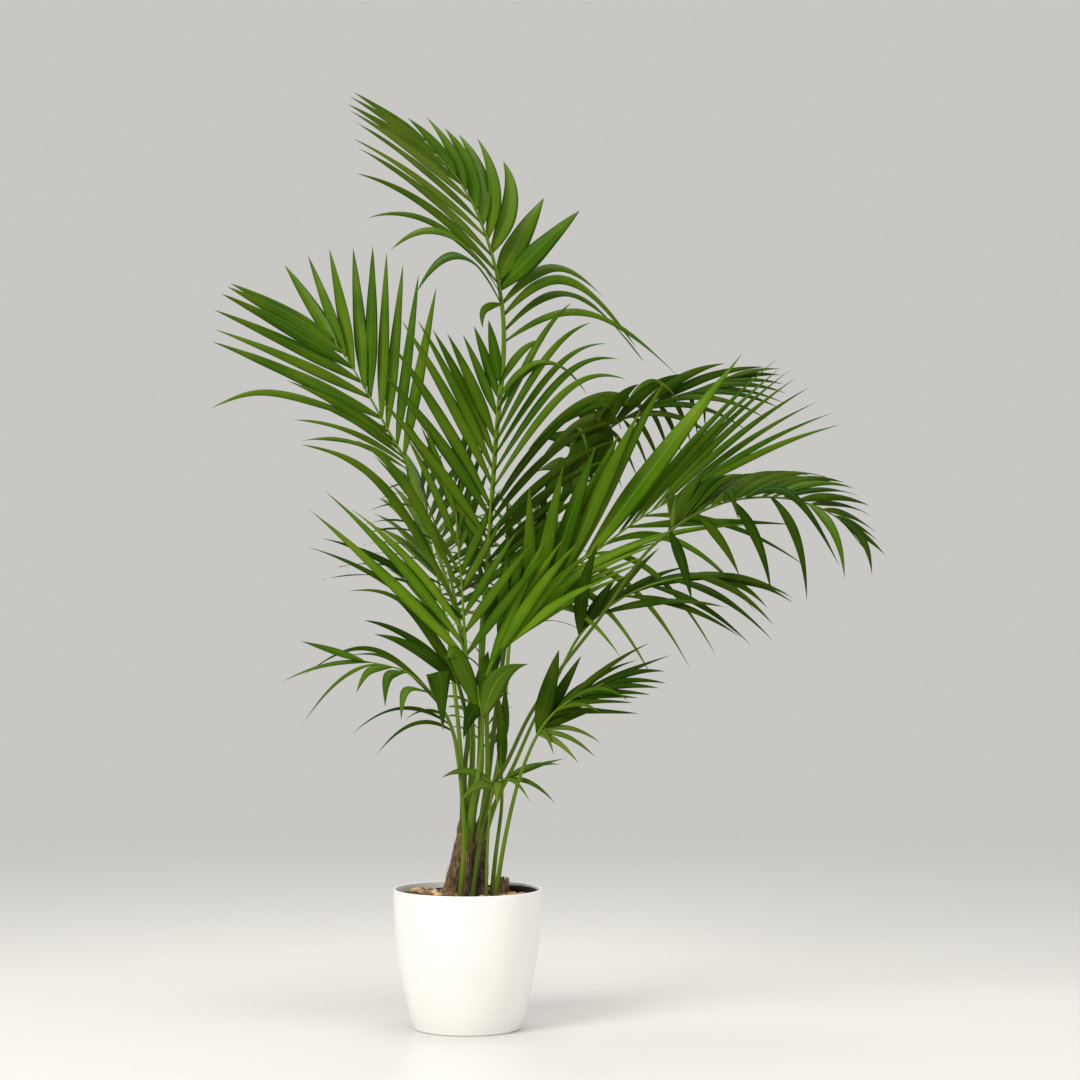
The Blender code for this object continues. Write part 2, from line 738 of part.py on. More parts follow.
                tips=((0.231, 0.48, 0.741), (0.272, 0.6, 0.846), (0.202, 0.71, 1.005)),
            ),
        ),
        face=(0.2, 0.5, 0.8),
    ),
    Frond(
        name="back_left",
        root=("trunk_left", 0.0095, 120),
        stalk=((-0.013, 0.11, 0.464), (-0.023, 0.17, 0.577), (-0.036, 0.24, 0.692)),
        rib=(
            (-0.041, 0.25, 0.716), (-0.059, 0.32, 0.81), (-0.081, 0.4, 0.91), (-0.099, 0.48, 0.971),
        ),
        rows=(
            Row(
                5, 0.1, 0.95, width=(0.028, 0.028), bow=(0.15, 0.15),
                tips=((-0.178, 0.42, 0.877), (-0.211, 0.55, 0.972), (-0.153, 0.68, 1.117)),
            ),
            Row(
                6, 0.1, 0.95, width=(0.028, 0.028), bow=(0.2, 0.2),
                tips=((0.067, 0.42, 0.795), (0.071, 0.55, 0.93), (-0.015, 0.68, 1.1)),
            ),
        ),
        face=(-0.2, 0.5, 0.8),
    ),
    Frond(
        name="back_low",
        root=("soil", 0.02, 0.0735),
        stalk=((0.033, 0.1, 0.388), (0.034, 0.17, 0.476)),
        rib=(
            (0.034, 0.18, 0.494), (0.034, 0.28, 0.571), (0.037, 0.36, 0.627), (0.04, 0.42, 0.655),
        ),
        rows=(
            Row(
                5, 0.1, 0.98, width=(0.026, 0.026), bow=(0.3, 0.3),
                tips=((-0.04, 0.24, 0.561), (-0.056, 0.36, 0.627), (-0.023, 0.52, 0.723)),
            ),
            Row(
                5, 0.1, 0.98, width=(0.026, 0.026), bow=(0.3, 0.3),
                tips=((0.077, 0.24, 0.561), (0.081, 0.36, 0.627), (0.061, 0.52, 0.723)),
            ),
        ),
        colour=DARK,
        face=(0.0, 0.5, 0.8),
    ),
)


def unit(vector):
    """The vector at length one."""
    return vector / max(float(np.linalg.norm(vector)), 1e-9)


def curve_through(points, steps=8):
    """Smooth curve through the points, with a given number of steps between each pair."""
    points = np.array(points, float)
    ends = np.vstack([2 * points[0] - points[1], points, 2 * points[-1] - points[-2]])
    curve = []
    for index in range(len(points) - 1):
        a, b, c, d = ends[index : index + 4]
        for t in np.linspace(0.0, 1.0, steps, endpoint=False):
            curve.append(
                0.5
                * (
                    2 * b
                    + (c - a) * t
                    + (2 * a - 5 * b + 4 * c - d) * t**2
                    + (3 * b - a - 3 * c + d) * t**3
                )
            )
    curve.append(points[-1])
    return np.array(curve)


def lengths_along(curve):
    """Distance from the start of the curve to each of its points."""
    gaps = np.linalg.norm(np.diff(curve, axis=0), axis=1)
    return np.concatenate([[0.0], np.cumsum(gaps)])


def point_at(curve, distance):
    """Point of the curve at a distance from its start."""
    run = lengths_along(curve)
    return np.array([np.interp(distance, run, curve[:, axis]) for axis in range(3)])


def piece_of(curve, start, end, spacing):
    """Evenly spaced points of the curve between two distances, with their tangents."""
    steps = max(2, round((end - start) / spacing))
    places = np.linspace(start, end, steps + 1)
    points = np.array([point_at(curve, place) for place in places])
    ahead = np.array([point_at(curve, place + TANGENT_REACH) for place in places])
    behind = np.array([point_at(curve, place - TANGENT_REACH) for place in places])
    tangents = ahead - behind
    return points, tangents / np.linalg.norm(tangents, axis=1)[:, None]


def tip_at(row, share):
    """Point of the row's line of tips, where each given point is one even step."""
    if len(row.tips) == 1:
        return np.array(row.tips[0], float)
    curve = curve_through(row.tips, 12)
    place = share * (len(curve) - 1)
    index = min(int(place), len(curve) - 2)
    return curve[index] + (curve[index + 1] - curve[index]) * (place - index)


def between(pair, share):
    """Value between the two ends of a pair."""
    return pair[0] + (pair[1] - pair[0]) * share


def sides_along(tangents, facing):
    """Side and facing direction for each tangent."""
    facing = unit(np.array(facing, float))
    up = facing - (tangents @ facing)[:, None] * tangents
    up /= np.maximum(np.linalg.norm(up, axis=1), 1e-6)[:, None]
    return np.cross(tangents, up), up


def carried_sides(tangents, facing):
    """Side and facing direction for each tangent, carried along without a twist."""
    facing = unit(np.array(facing, float))
    start = int(np.argmin(np.abs(tangents @ facing)))
    up = np.zeros_like(tangents)
    up[start] = unit(facing - tangents[start] * (tangents[start] @ facing))
    for index in [*range(start + 1, len(tangents)), *range(start - 1, -1, -1)]:
        near = up[index - 1] if index > start else up[index + 1]
        up[index] = unit(near - tangents[index] * (tangents[index] @ near))
    return np.cross(tangents, up), up


def loft(rings):
    """Points and faces of a closed solid through rings of equal size."""
    rings = np.array(rings)
    count, sides = rings.shape[:2]
    faces = [list(range(sides))[::-1]]
    for ring in range(count - 1):
        for side in range(sides):
            here = ring * sides + side
            there = ring * sides + (side + 1) % sides
            faces.append([here, there, there + sides, here + sides])
    faces.append([(count - 1) * sides + side for side in range(sides)])
    return rings.reshape(-1, 3), faces


def pointed(rings, tip):
    """Points and faces of a closed solid through rings that ends in a point."""
    points, faces = loft(rings)
    sides = len(rings[0])
    last = faces.pop()
    end = len(points)
    faces += [[last[side], last[(side + 1) % sides], end] for side in range(sides)]
    return np.vstack([points, tip]), faces


def tube(points, tangents, radii, sides=STEM_SIDES):
    """Round bar along the points."""
    side, up = sides_along(tangents, TUBE_FACING)
    turn = np.arange(sides) * 2 * pi / sides
    rings = [
        point + (np.outer(np.cos(turn), across) + np.outer(np.sin(turn), out)) * radius
        for point, across, out, radius in zip(points, side, up, radii)
    ]
    return loft(rings)


def leaf_line(base, tip, row, share, count, ease=1.0):
    """Centre line of a leaflet, bent towards the row's way."""
    chord = tip - base
    rise = ease * between(row.bow, share) * np.linalg.norm(chord)
    corner = base + chord * row.bend + unit(np.array(row.way, float)) * rise
    near = base + (corner - base) * row.crook
    far = tip + (corner - tip) * row.crook
    t = np.linspace(0.0, 1.0, count)[:, None]
    return (
        (1 - t) ** 3 * base
        + 3 * (1 - t) ** 2 * t * near
        + 3 * (1 - t) * t**2 * far
        + t**3 * tip
    )


def leaf_width(place, slim):
    """Share of the full width at a place between root and tip."""
    if place < LEAF_WIDEST_AT:
        rise = sin(place / LEAF_WIDEST_AT * pi / 2)
        return LEAF_ROOT_SHARE + (1 - LEAF_ROOT_SHARE) * rise
    past = (place - LEAF_WIDEST_AT) / (1 - LEAF_WIDEST_AT)
    return (1 - past**LEAF_FULLNESS) ** (LEAF_TAPER * slim)


def leaf_solid(base, tip, row, share, facing, width, ease=1.0):
    """Points and faces of one leaflet, three-sided across with a keel behind."""
    bow = between(row.bow, share)
    places = (0.0, 0.35, 0.7)
    if bow > 0.12:
        places = (0.0, 0.25, 0.5, 0.75)
    if bow > 0.45 or row.crook > 0.7:
        places = (0.0, 0.2, 0.4, 0.6, 0.8)
    fine = leaf_line(base, tip, row, share, 41, ease)
    tangents = np.gradient(fine, axis=0)
    tangents /= np.linalg.norm(tangents, axis=1)[:, None]
    side, up = carried_sides(tangents, facing)
    depth = max(LEAF_THICKNESS_SHARE * lengths_along(fine)[-1], LEAF_THINNEST)
    rings = []
    for place in places:
        index = round(place * 40)
        half = side[index] * width * leaf_width(place, row.slim) / 2
        middle = fine[index]
        rings.append([middle - half, middle - up[index] * depth, middle + half])
    return pointed(rings, tip)


def tree_of(points, faces):
    """Search tree of a solid."""
    return BVHTree.FromPolygons([tuple(p) for p in points], faces)


def crosses(solid, placed, own):
    """Whether the solid cuts a placed one of another node."""
    points, faces = solid
    low = points.min(axis=0) - CLEARANCE
    high = points.max(axis=0) + CLEARANCE
    tree = tree_of(points, faces)
    for node, floor, ceiling, other in placed:
        if node == own or (high < floor).any() or (low > ceiling).any():
            continue
        if tree.overlap(other):
            return True
    return False


def remember(placed, node, solid):
    """Add a solid to those that later leaflets keep clear of."""
    points, faces = solid
    placed.append((node, points.min(axis=0), points.max(axis=0), tree_of(points, faces)))


def folds(solid):
    """Whether the solid cuts itself."""
    points, faces = solid
    flat = [(f[0], f[i], f[i + 1]) for f in faces for i in range(1, len(f) - 1)]
    tree = tree_of(points, flat)
    return any(not set(flat[a]) & set(flat[b]) for a, b in tree.overlap(tree))


def settle(base, tip, row, share, facing, width, placed, own):
    """Leaflet that clears the placed nodes: moved in depth, then made shorter, or None."""
    ease = next(
        (e for e in EASE_STEPS if not folds(leaf_solid(base, tip, row, share, facing, width, e))),
        EASE_STEPS[-1],
    )
    for scale in LENGTH_STEPS:
        for depth in DEPTH_STEPS:
            end = base + (tip - base) * scale
            end[1] += depth
            solid = leaf_solid(base, end, row, share, facing, width, ease)
            if not crosses(solid, placed, own):
                return solid
    return None


def material(name, colour, roughness=0.5):
    """Plain principled material."""
    made = bpy.data.materials.get(name) or bpy.data.materials.new(name)
    made.use_nodes = True
    shader = made.node_tree.nodes["Principled BSDF"]
    shader.inputs["Base Color"].default_value = (*colour, 1.0)
    shader.inputs["Roughness"].default_value = roughness
    return made


def object_from(name, solid, finish, smooth=True):
    """Mesh object from points and faces, outward facing."""
    points, faces = solid
    mesh = bpy.data.meshes.new(name)
    mesh.from_pydata([tuple(p) for p in points], [], faces)
    shape = bmesh.new()
    shape.from_mesh(mesh)
    bmesh.ops.recalc_face_normals(shape, faces=shape.faces)
    shape.to_mesh(mesh)
    shape.free()
    mesh.polygons.foreach_set("use_smooth", [smooth] * len(mesh.polygons))
    mesh.materials.append(finish)
    made = bpy.data.objects.new(name, mesh)
    bpy.context.scene.collection.objects.link(made)
    return made


def keep_largest(shape):
    """Drop every loose shell but the one with most faces."""
    left = set(shape.faces)
    shells = []
    while left:
        stack = [left.pop()]
        shell = set(stack)
        while stack:
            for edge in stack.pop().edges:
                for face in edge.link_faces:
                    if face in left:
                        left.discard(face)
                        shell.add(face)
                        stack.append(face)
        shells.append(shell)
    shells.sort(key=len)
    scraps = [face for shell in shells[:-1] for face in shell]
    bmesh.ops.delete(shape, geom=scraps, context="FACES")


def fuse(name, solids, finish):
    """One solid from overlapping ones, by one Boolean union on a collection."""
    body = object_from(name, solids[0], finish)
    helpers = bpy.data.collections.new(name + "_leaflets")
    bpy.context.scene.collection.children.link(helpers)
    for index, solid in enumerate(solids[1:]):
        helper = object_from(f"{name}_{index}", solid, finish)
        bpy.context.scene.collection.objects.unlink(helper)
        helpers.objects.link(helper)
    union = body.modifiers.new("leaflets", "BOOLEAN")
    union.operation = "UNION"
    union.operand_type = "COLLECTION"
    union.collection = helpers
    union.solver = "MANIFOLD"
    bpy.context.view_layer.update()
    graph = bpy.context.evaluated_depsgraph_get()
    joined = bpy.data.meshes.new_from_object(body.evaluated_get(graph))
    body.modifiers.clear()
    body.data = joined
    for helper in list(helpers.objects):
        bpy.data.objects.remove(helper)
    bpy.data.collections.remove(helpers)
    shape = bmesh.new()
    shape.from_mesh(joined)
    keep_largest(shape)
    bmesh.ops.triangulate(shape, faces=shape.faces)
    shape.to_mesh(joined)
    shape.free()
    joined.polygons.foreach_set("use_smooth", [True] * len(joined.polygons))
    return body


def soil_height(x, y):
    """Height of the filling's top at a place."""
    away = np.hypot(x - SOIL_DIP_CENTRE[0], y - SOIL_DIP_CENTRE[1]) / SOIL_DIP_REACH
    return SOIL_LEVEL - SOIL_DIP * float(np.clip(1.3 - away, 0.0, 1.0))


def revolved(profile, sides):
    """Closed solid turned from a profile of (radius, height) that ends on the axis."""
    points = []
    for radius, height in profile[1:-1]:
        for turn in np.arange(sides) * 2 * pi / sides:
            points.append((radius * cos(turn), radius * sin(turn), height))
    start = len(points)
    points.append((0.0, 0.0, profile[0][1]))
    points.append((0.0, 0.0, profile[-1][1]))
    rings = len(profile) - 2
    faces = []
    for side in range(sides):
        after = (side + 1) % sides
        faces.append([start, after, side])
        for ring in range(rings - 1):
            low = ring * sides
            faces.append([low + side, low + after, low + sides + after, low + sides + side])
        top = (rings - 1) * sides
        faces.append([top + side, top + after, start + 1])
    return np.array(points), faces


def build_pot():
    """White pot: flat foot, swelling side, thin rim and a hollow inside."""
    outside = [(0.0, 0.0), *POT_PROFILE]
    rim_radius, rim_height = POT_PROFILE[-1]
    rim = [(rim_radius - POT_WALL / 2, rim_height + POT_WALL * 0.3)]
    inside = [(r - POT_WALL, z) for r, z in reversed(POT_PROFILE) if z > 0.02]
    floor = [(inside[-1][0] - 0.003, POT_FLOOR), (0.0, POT_FLOOR)]
    solid = revolved([*outside, *rim, *inside, *floor], POT_SIDES)
    return object_from("pot", solid, material("white_plastic", WHITE, 0.35))


def leaned(solid):
    """The solid of the inner pot or its filling, shifted and leaning to the left."""
    points, faces = solid
    points[:, 2] += points[:, 0] * INNER_LEAN
    points[:, 0] += INNER_SHIFT
    return points, faces


def build_inner_pot():
    """Black nursery pot that holds the filling."""
    low = INNER_FOOT
    profile = [
        (0.0, low),
        (INNER_FOOT_RADIUS, low),
        (INNER_RIM_RADIUS, INNER_RIM_HEIGHT),
        (INNER_RIM_RADIUS - INNER_WALL, INNER_RIM_HEIGHT),
        (INNER_FOOT_RADIUS - INNER_WALL, low + INNER_WALL),
        (0.0, low + INNER_WALL),
    ]
    solid = leaned(revolved(profile, POT_SIDES))
    return object_from("nursery_pot", solid, material("black_plastic", BLACK, 0.4))


def inner_radius(height):
    """Radius of the nursery pot's inside at a height."""
    share = (height - INNER_FOOT) / (INNER_RIM_HEIGHT - INNER_FOOT)
    return between((INNER_FOOT_RADIUS, INNER_RIM_RADIUS), share) - INNER_WALL


def soil_body():
    """Filling of the nursery pot, with its top shaped."""
    low = INNER_FOOT + INNER_WALL + CLEARANCE
    lowest = SOIL_LEVEL - SOIL_DIP - INNER_LEAN * INNER_RIM_RADIUS
    rim = inner_radius(lowest) - 2 * CLEARANCE
    profile = [(0.0, low), (inner_radius(low) - 2 * CLEARANCE, low)]
    profile += [(rim * (1 - ring / SOIL_RINGS), SOIL_LEVEL) for ring in range(SOIL_RINGS + 1)]
    points, faces = leaned(revolved(profile, POT_SIDES))
    for point in points:
        if point[2] > low + 0.02:
            point[2] = soil_height(point[0], point[1])
    return points, faces


def pebble(centre, size, chance):
    """Flattened, slightly uneven pebble."""
    shape = bmesh.new()
    bmesh.ops.create_icosphere(shape, subdivisions=1, radius=1.0)
    points = np.array([tuple(v.co) for v in shape.verts])
    faces = [[v.index for v in face.verts] for face in shape.faces]
    shape.free()
    turn = chance.uniform(0, pi)
    stretch = np.array([size, size * chance.uniform(0.6, 0.9), size * 0.5])
    points = points * (1 + chance.uniform(-0.08, 0.08, (len(points), 1))) * stretch
    spun = points.copy()
    spun[:, 0] = points[:, 0] * cos(turn) - points[:, 1] * sin(turn)
    spun[:, 1] = points[:, 0] * sin(turn) + points[:, 1] * cos(turn)
    return spun + np.array(centre), faces


def build_soil():
    """Filling with pebbles half sunk round the edge."""
    chance = np.random.default_rng(PEBBLE_SEED)
    solids = [soil_body()]
    for index in range(PEBBLE_COUNT):
        turn = (index + chance.uniform(0.1, 0.9)) * 2 * pi / PEBBLE_COUNT
        reach = chance.uniform(0.096, 0.109)
        x, y = reach * cos(turn), reach * sin(turn)
        size = chance.uniform(0.008, 0.012)
        solids.append(pebble((x, y, soil_height(x, y) + 0.001), size, chance))
    return fuse("soil", solids, material("earth", EARTH, 0.9))


def build_trunk(name, trunk):
    """Tapered trunk with a flared foot, standing just clear of the soil."""
    low = SOIL_LEVEL + CLEARANCE
    centres, radii = [], []
    for share in (0.0, 0.1, 0.3, 0.6, 1.0):
        x = between((trunk.foot[0], trunk.top[0]), share)
        y = between((trunk.foot[1], trunk.top[1]), share)
        centres.append((x, y, low + trunk.height * share))
        flare = trunk.flare * max(0.0, 1 - share / 0.2) ** 2
        radii.append(between((trunk.foot_radius, trunk.top_radius), share) + flare)
    rings = []
    for centre, radius in zip(centres, radii):
        turn = np.arange(TRUNK_SIDES) * 2 * pi / TRUNK_SIDES
        ring = np.zeros((TRUNK_SIDES, 3)) + np.array(centre)
        ring[:, 0] += np.cos(turn) * radius
        ring[:, 1] += np.sin(turn) * radius
        rings.append(ring)
    return loft(rings)


def root_of(frond):
    """Point where the frond's stalk starts."""
    place = frond.root[0]
    if place == "soil":
        return np.array([frond.root[1], frond.root[2], SOIL_LEVEL + CLEARANCE])
    trunk = TRUNKS[place]
    reach, turn = frond.root[1], radians(frond.root[2])
    x = trunk.top[0] + reach * cos(turn)
    y = trunk.top[1] + reach * sin(turn)
    return np.array([x, y, SOIL_LEVEL + trunk.height + 2 * CLEARANCE])


def spine_of(frond):
    """Curve of stalk and rib, with the distance where the rib starts and its length."""
    root = root_of(frond)
    points = [root, root + np.array([0.0, 0.0, 0.004]), *frond.stalk, *frond.rib]
    curve = curve_through(points)
    start = lengths_along(curve)[8 * (len(points) - len(frond.rib))]
    return curve, start, lengths_along(curve)[-1]


def stalk_solid(frond):
    """Bar from the root to just short of the rib."""
    curve, start, _ = spine_of(frond)
    points, tangents = piece_of(curve, 0.0, start - CLEARANCE / 2, STEM_SPACING)
    tangents[0] = (0.0, 0.0, 1.0)
    radii = np.linspace(frond.radius[0], frond.radius[1], len(points))
    return tube(points, tangents, radii)


def rib_solids(frond):
    """Bars of the rib: one for each node of the blade, with their node names."""
    curve, start, end = spine_of(frond)
    cuts = [0.0, 1.0] if not frond.split else [0.0, frond.split, 1.0]
    names = [frond.name] if not frond.split else [frond.name + "_lower", frond.name + "_upper"]
    solids = []
    for name, low, high in zip(names, cuts, cuts[1:]):
        first = start + (end - start) * low + CLEARANCE / 2
        last = start + (end - start) * high - CLEARANCE / 2
        points, tangents = piece_of(curve, first, last, RIB_SPACING)
        taper = (frond.radius[1], RIB_END_RADIUS)
        radii = np.linspace(between(taper, low), between(taper, high), len(points))
        solids.append((name, tube(points, tangents, radii, RIB_SIDES)))
    return solids


def leaves_of(frond, chance):
    """Base, tip, row, share and width of each leaflet, with its place on the rib."""
    curve, start, end = spine_of(frond)
    for row in frond.rows:
        for index in range(row.count):
            share = index / (row.count - 1) if row.count > 1 else 0.0
            drift = chance.uniform(-1.0, 1.0, 5)
            step = (row.last - row.first) / max(row.count - 1, 1)
            place = between((row.first, row.last), share) + PLACE_DRIFT * step * drift[3]
            place = min(max(place, 0.004), 0.996)
            base = point_at(curve, start + (end - start) * place)
            tip = tip_at(row, share) + drift[:3] * TIP_DRIFT
            width = between(row.width, share) * (1 + WIDTH_DRIFT * drift[4])
            yield base, tip, row, share, width, place


def build_fronds():
    """All stalks and blades."""
    placed = []
    stalk_finish = material("stalk", STALK, 0.45)
    for name, trunk in TRUNKS.items():
        solid = build_trunk(name, trunk)
        object_from(name, solid, material("sheath", SHEATH, 0.85))
        remember(placed, name, solid)
    ribs = []
    for frond in FRONDS:
        solid = stalk_solid(frond)
        object_from("stem_" + frond.name, solid, stalk_finish)
        remember(placed, "stem_" + frond.name, solid)
        for name, rib in rib_solids(frond):
            remember(placed, name, rib)
            ribs.append((frond, name, rib))
    for frond in FRONDS:
        chance = np.random.default_rng(frond.seed)
        parts = {name: [rib] for owner, name, rib in ribs if owner is frond}
        names = list(parts)
        for base, tip, row, share, width, place in leaves_of(frond, chance):
            own = names[1] if frond.split and place > frond.split else names[0]
            facing = row.face or frond.face
            solid = settle(base, tip, row, share, facing, width, placed, own)
            if solid is None:
                continue
            remember(placed, own, solid)
            parts[own].append(solid)
        finish = material(frond.name + "_leaf", frond.colour, 0.4)
        for name, solids in parts.items():
            fuse("frond_" + name, solids, finish)


def main():
    """Clear the scene and build every node."""
    for obj in list(bpy.data.objects):
        bpy.data.objects.remove(obj)
    build_pot()
    build_inner_pot()
    build_soil()
    build_fronds()


main()
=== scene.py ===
"""A clump of kentia palm in a plain white pot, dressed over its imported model.

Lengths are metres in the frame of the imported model, +Z up, with the origin at the
centre of the pot's flat underside. Each frond is a curved rib with rows of leaflets.
A leaflet runs from a share of the rib to a point on the line that its row's tips
follow, as in the model that the pieces here replace.
"""

import logging
from collections.abc import Iterator
from dataclasses import dataclass
from enum import Enum
from itertools import count
from math import cos, pi, radians, sin, sqrt

import bmesh
import bpy
import numpy as np
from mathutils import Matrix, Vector, noise


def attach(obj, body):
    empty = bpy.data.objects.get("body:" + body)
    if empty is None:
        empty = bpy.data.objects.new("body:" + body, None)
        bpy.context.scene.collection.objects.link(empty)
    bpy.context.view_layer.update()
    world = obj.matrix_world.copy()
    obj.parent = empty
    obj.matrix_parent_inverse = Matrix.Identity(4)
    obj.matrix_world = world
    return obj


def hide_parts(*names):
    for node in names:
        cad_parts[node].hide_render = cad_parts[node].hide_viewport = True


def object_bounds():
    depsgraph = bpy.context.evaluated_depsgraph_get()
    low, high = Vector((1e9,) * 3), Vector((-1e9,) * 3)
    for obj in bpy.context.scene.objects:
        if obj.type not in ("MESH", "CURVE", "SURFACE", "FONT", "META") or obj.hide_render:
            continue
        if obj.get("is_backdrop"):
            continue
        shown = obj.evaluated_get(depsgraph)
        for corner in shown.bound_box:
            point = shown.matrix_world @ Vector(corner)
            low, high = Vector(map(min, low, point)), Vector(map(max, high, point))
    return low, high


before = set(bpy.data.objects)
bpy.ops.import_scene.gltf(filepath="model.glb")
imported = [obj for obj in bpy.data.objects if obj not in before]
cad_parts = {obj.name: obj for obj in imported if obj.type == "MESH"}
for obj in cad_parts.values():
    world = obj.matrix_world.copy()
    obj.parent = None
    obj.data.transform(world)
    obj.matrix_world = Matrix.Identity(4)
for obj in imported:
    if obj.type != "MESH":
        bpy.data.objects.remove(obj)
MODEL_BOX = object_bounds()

log = logging.getLogger("kentia")

Point = tuple[float, float, float]
Pair = tuple[float, float]
Colour = tuple[float, float, float]

BODY = "root"
FORWARD: Point = (0.0, -1.0, 0.25)
UPWARD: Point = (0.0, 0.0, 1.0)
# Fronds whose stalk and rib take a darker copy of the stalk green, which is painted shade.
PAINTED_SHADE_STALKS = ("right_arch", "right_back", "left_dark", "back_left_low", "back_low")
CURVE_STEPS = 8
TIP_LINE_STEPS = 12
TIP_DRIFT: Point = (0.005, 0.030, 0.005)
PLACE_DRIFT = 0.25
WIDTH_DRIFT = 0.12
INNER_SHIFT = 0.004
INNER_LEAN = 0.045


class Tone(Enum):
    """Green of a leaflet's upper side, with painted light in the lighter green and painted shade in the darker
    one.
    """

    # The lighter and the darker greens are lit and shaded copies of the middle green: painted light and
    # painted shade.
    PAINTED_LIGHT = "leaf_bright"
    MIDDLE = "leaf_middle"
    DARK = "leaf_dark"


@dataclass(frozen=True)
class Row:
    """Leaflets spread evenly along a share of one rib.

    Args:
        count: Number of leaflets.
        first: Share of the rib where the first leaflet stands.
        last: Share of the rib where the last one stands.
        tips: Points that the tips follow, from the first leaflet to the last.
        width: Widest part of the first and of the last leaflet.
        bow: Height of the bend against the length, first and last.
        way: Direction that the leaflet bends towards.
        bend: Share of the leaflet's chord under the bend.
        crook: Sharpness of the bend, from 0.67 for an even arch to 1.
        slim: How far the tip is drawn out, from 1 for a plain point.
        face: Direction that the blade faces, where it isn't the frond's own.
        tone: Green of its leaflets, where it isn't the frond's own, lighter for painted light and darker for
            painted shade.
    """

    count: int
    first: float
    last: float
    tips: tuple[Point, ...]
    width: Pair = (0.022, 0.022)
    bow: Pair = (0.05, 0.05)
    way: Point = UPWARD
    bend: float = 0.5
    crook: float = 0.67
    slim: float = 1.0
    face: Point | None = None
    tone: Tone | None = None


@dataclass(frozen=True)
class Frond:
    """One frond: a stalk from a trunk or the soil, a rib and its rows of leaflets.

    Args:
        name: Plain name of the frond.
        root: Trunk that it grows from and its place on the top, or soil and a point.
        stalk: Points of the bare stalk above the root.
        rib: Points of the leafy rib, from the first leaflet to the end.
        rows: Rows of leaflets.
        tone: Green of most of its leaflets, lighter for painted light and darker for painted shade.
        radius: Radius of the stalk at its root and of the rib at its start.
        face: Direction that the blades face.
        split: Share of the rib where the model parts the blade, or 0.
        seed: Start of the small chances in where the tips lie.
    """

    name: str
    root: tuple[str, float, float]
    stalk: tuple[Point, ...]
    rib: tuple[Point, ...]
    rows: tuple[Row, ...]
    tone: Tone = Tone.MIDDLE
    radius: Pair = (0.0048, 0.0036)
    face: Point = FORWARD
    split: float = 0.0
    seed: int = 1

    @property
    def blade_nodes(self) -> list[str]:
        """Names of the model's nodes that the blade stands for."""
        if not self.split:
            return [f"frond_{self.name}"]
        return [f"frond_{self.name}_lower", f"frond_{self.name}_upper"]


@dataclass(frozen=True)
class TrunkShape:
    """Foot and top of a short trunk as (x, y), radii of both and its height."""

    foot: Pair
    top: Pair
    foot_radius: float
    top_radius: float
    height: float


TRUNKS: dict[str, TrunkShape] = {
    "trunk_left": TrunkShape((-0.0335, -0.004), (-0.003, 0.0), 0.0165, 0.0145, 0.124),
    "trunk_right": TrunkShape((0.0262, 0.0), (0.0275, 0.0), 0.0108, 0.0096, 0.109),
    "trunk_back": TrunkShape((0.012, 0.05), (0.016, 0.048), 0.013, 0.0127, 0.11),
    "trunk_middle": TrunkShape((-0.0006, -0.034), (0.0, -0.031), 0.0062, 0.005, 0.09),
    "trunk_stub": TrunkShape((0.069, 0.01), (0.071, 0.01), 0.0075, 0.008, 0.034),
}

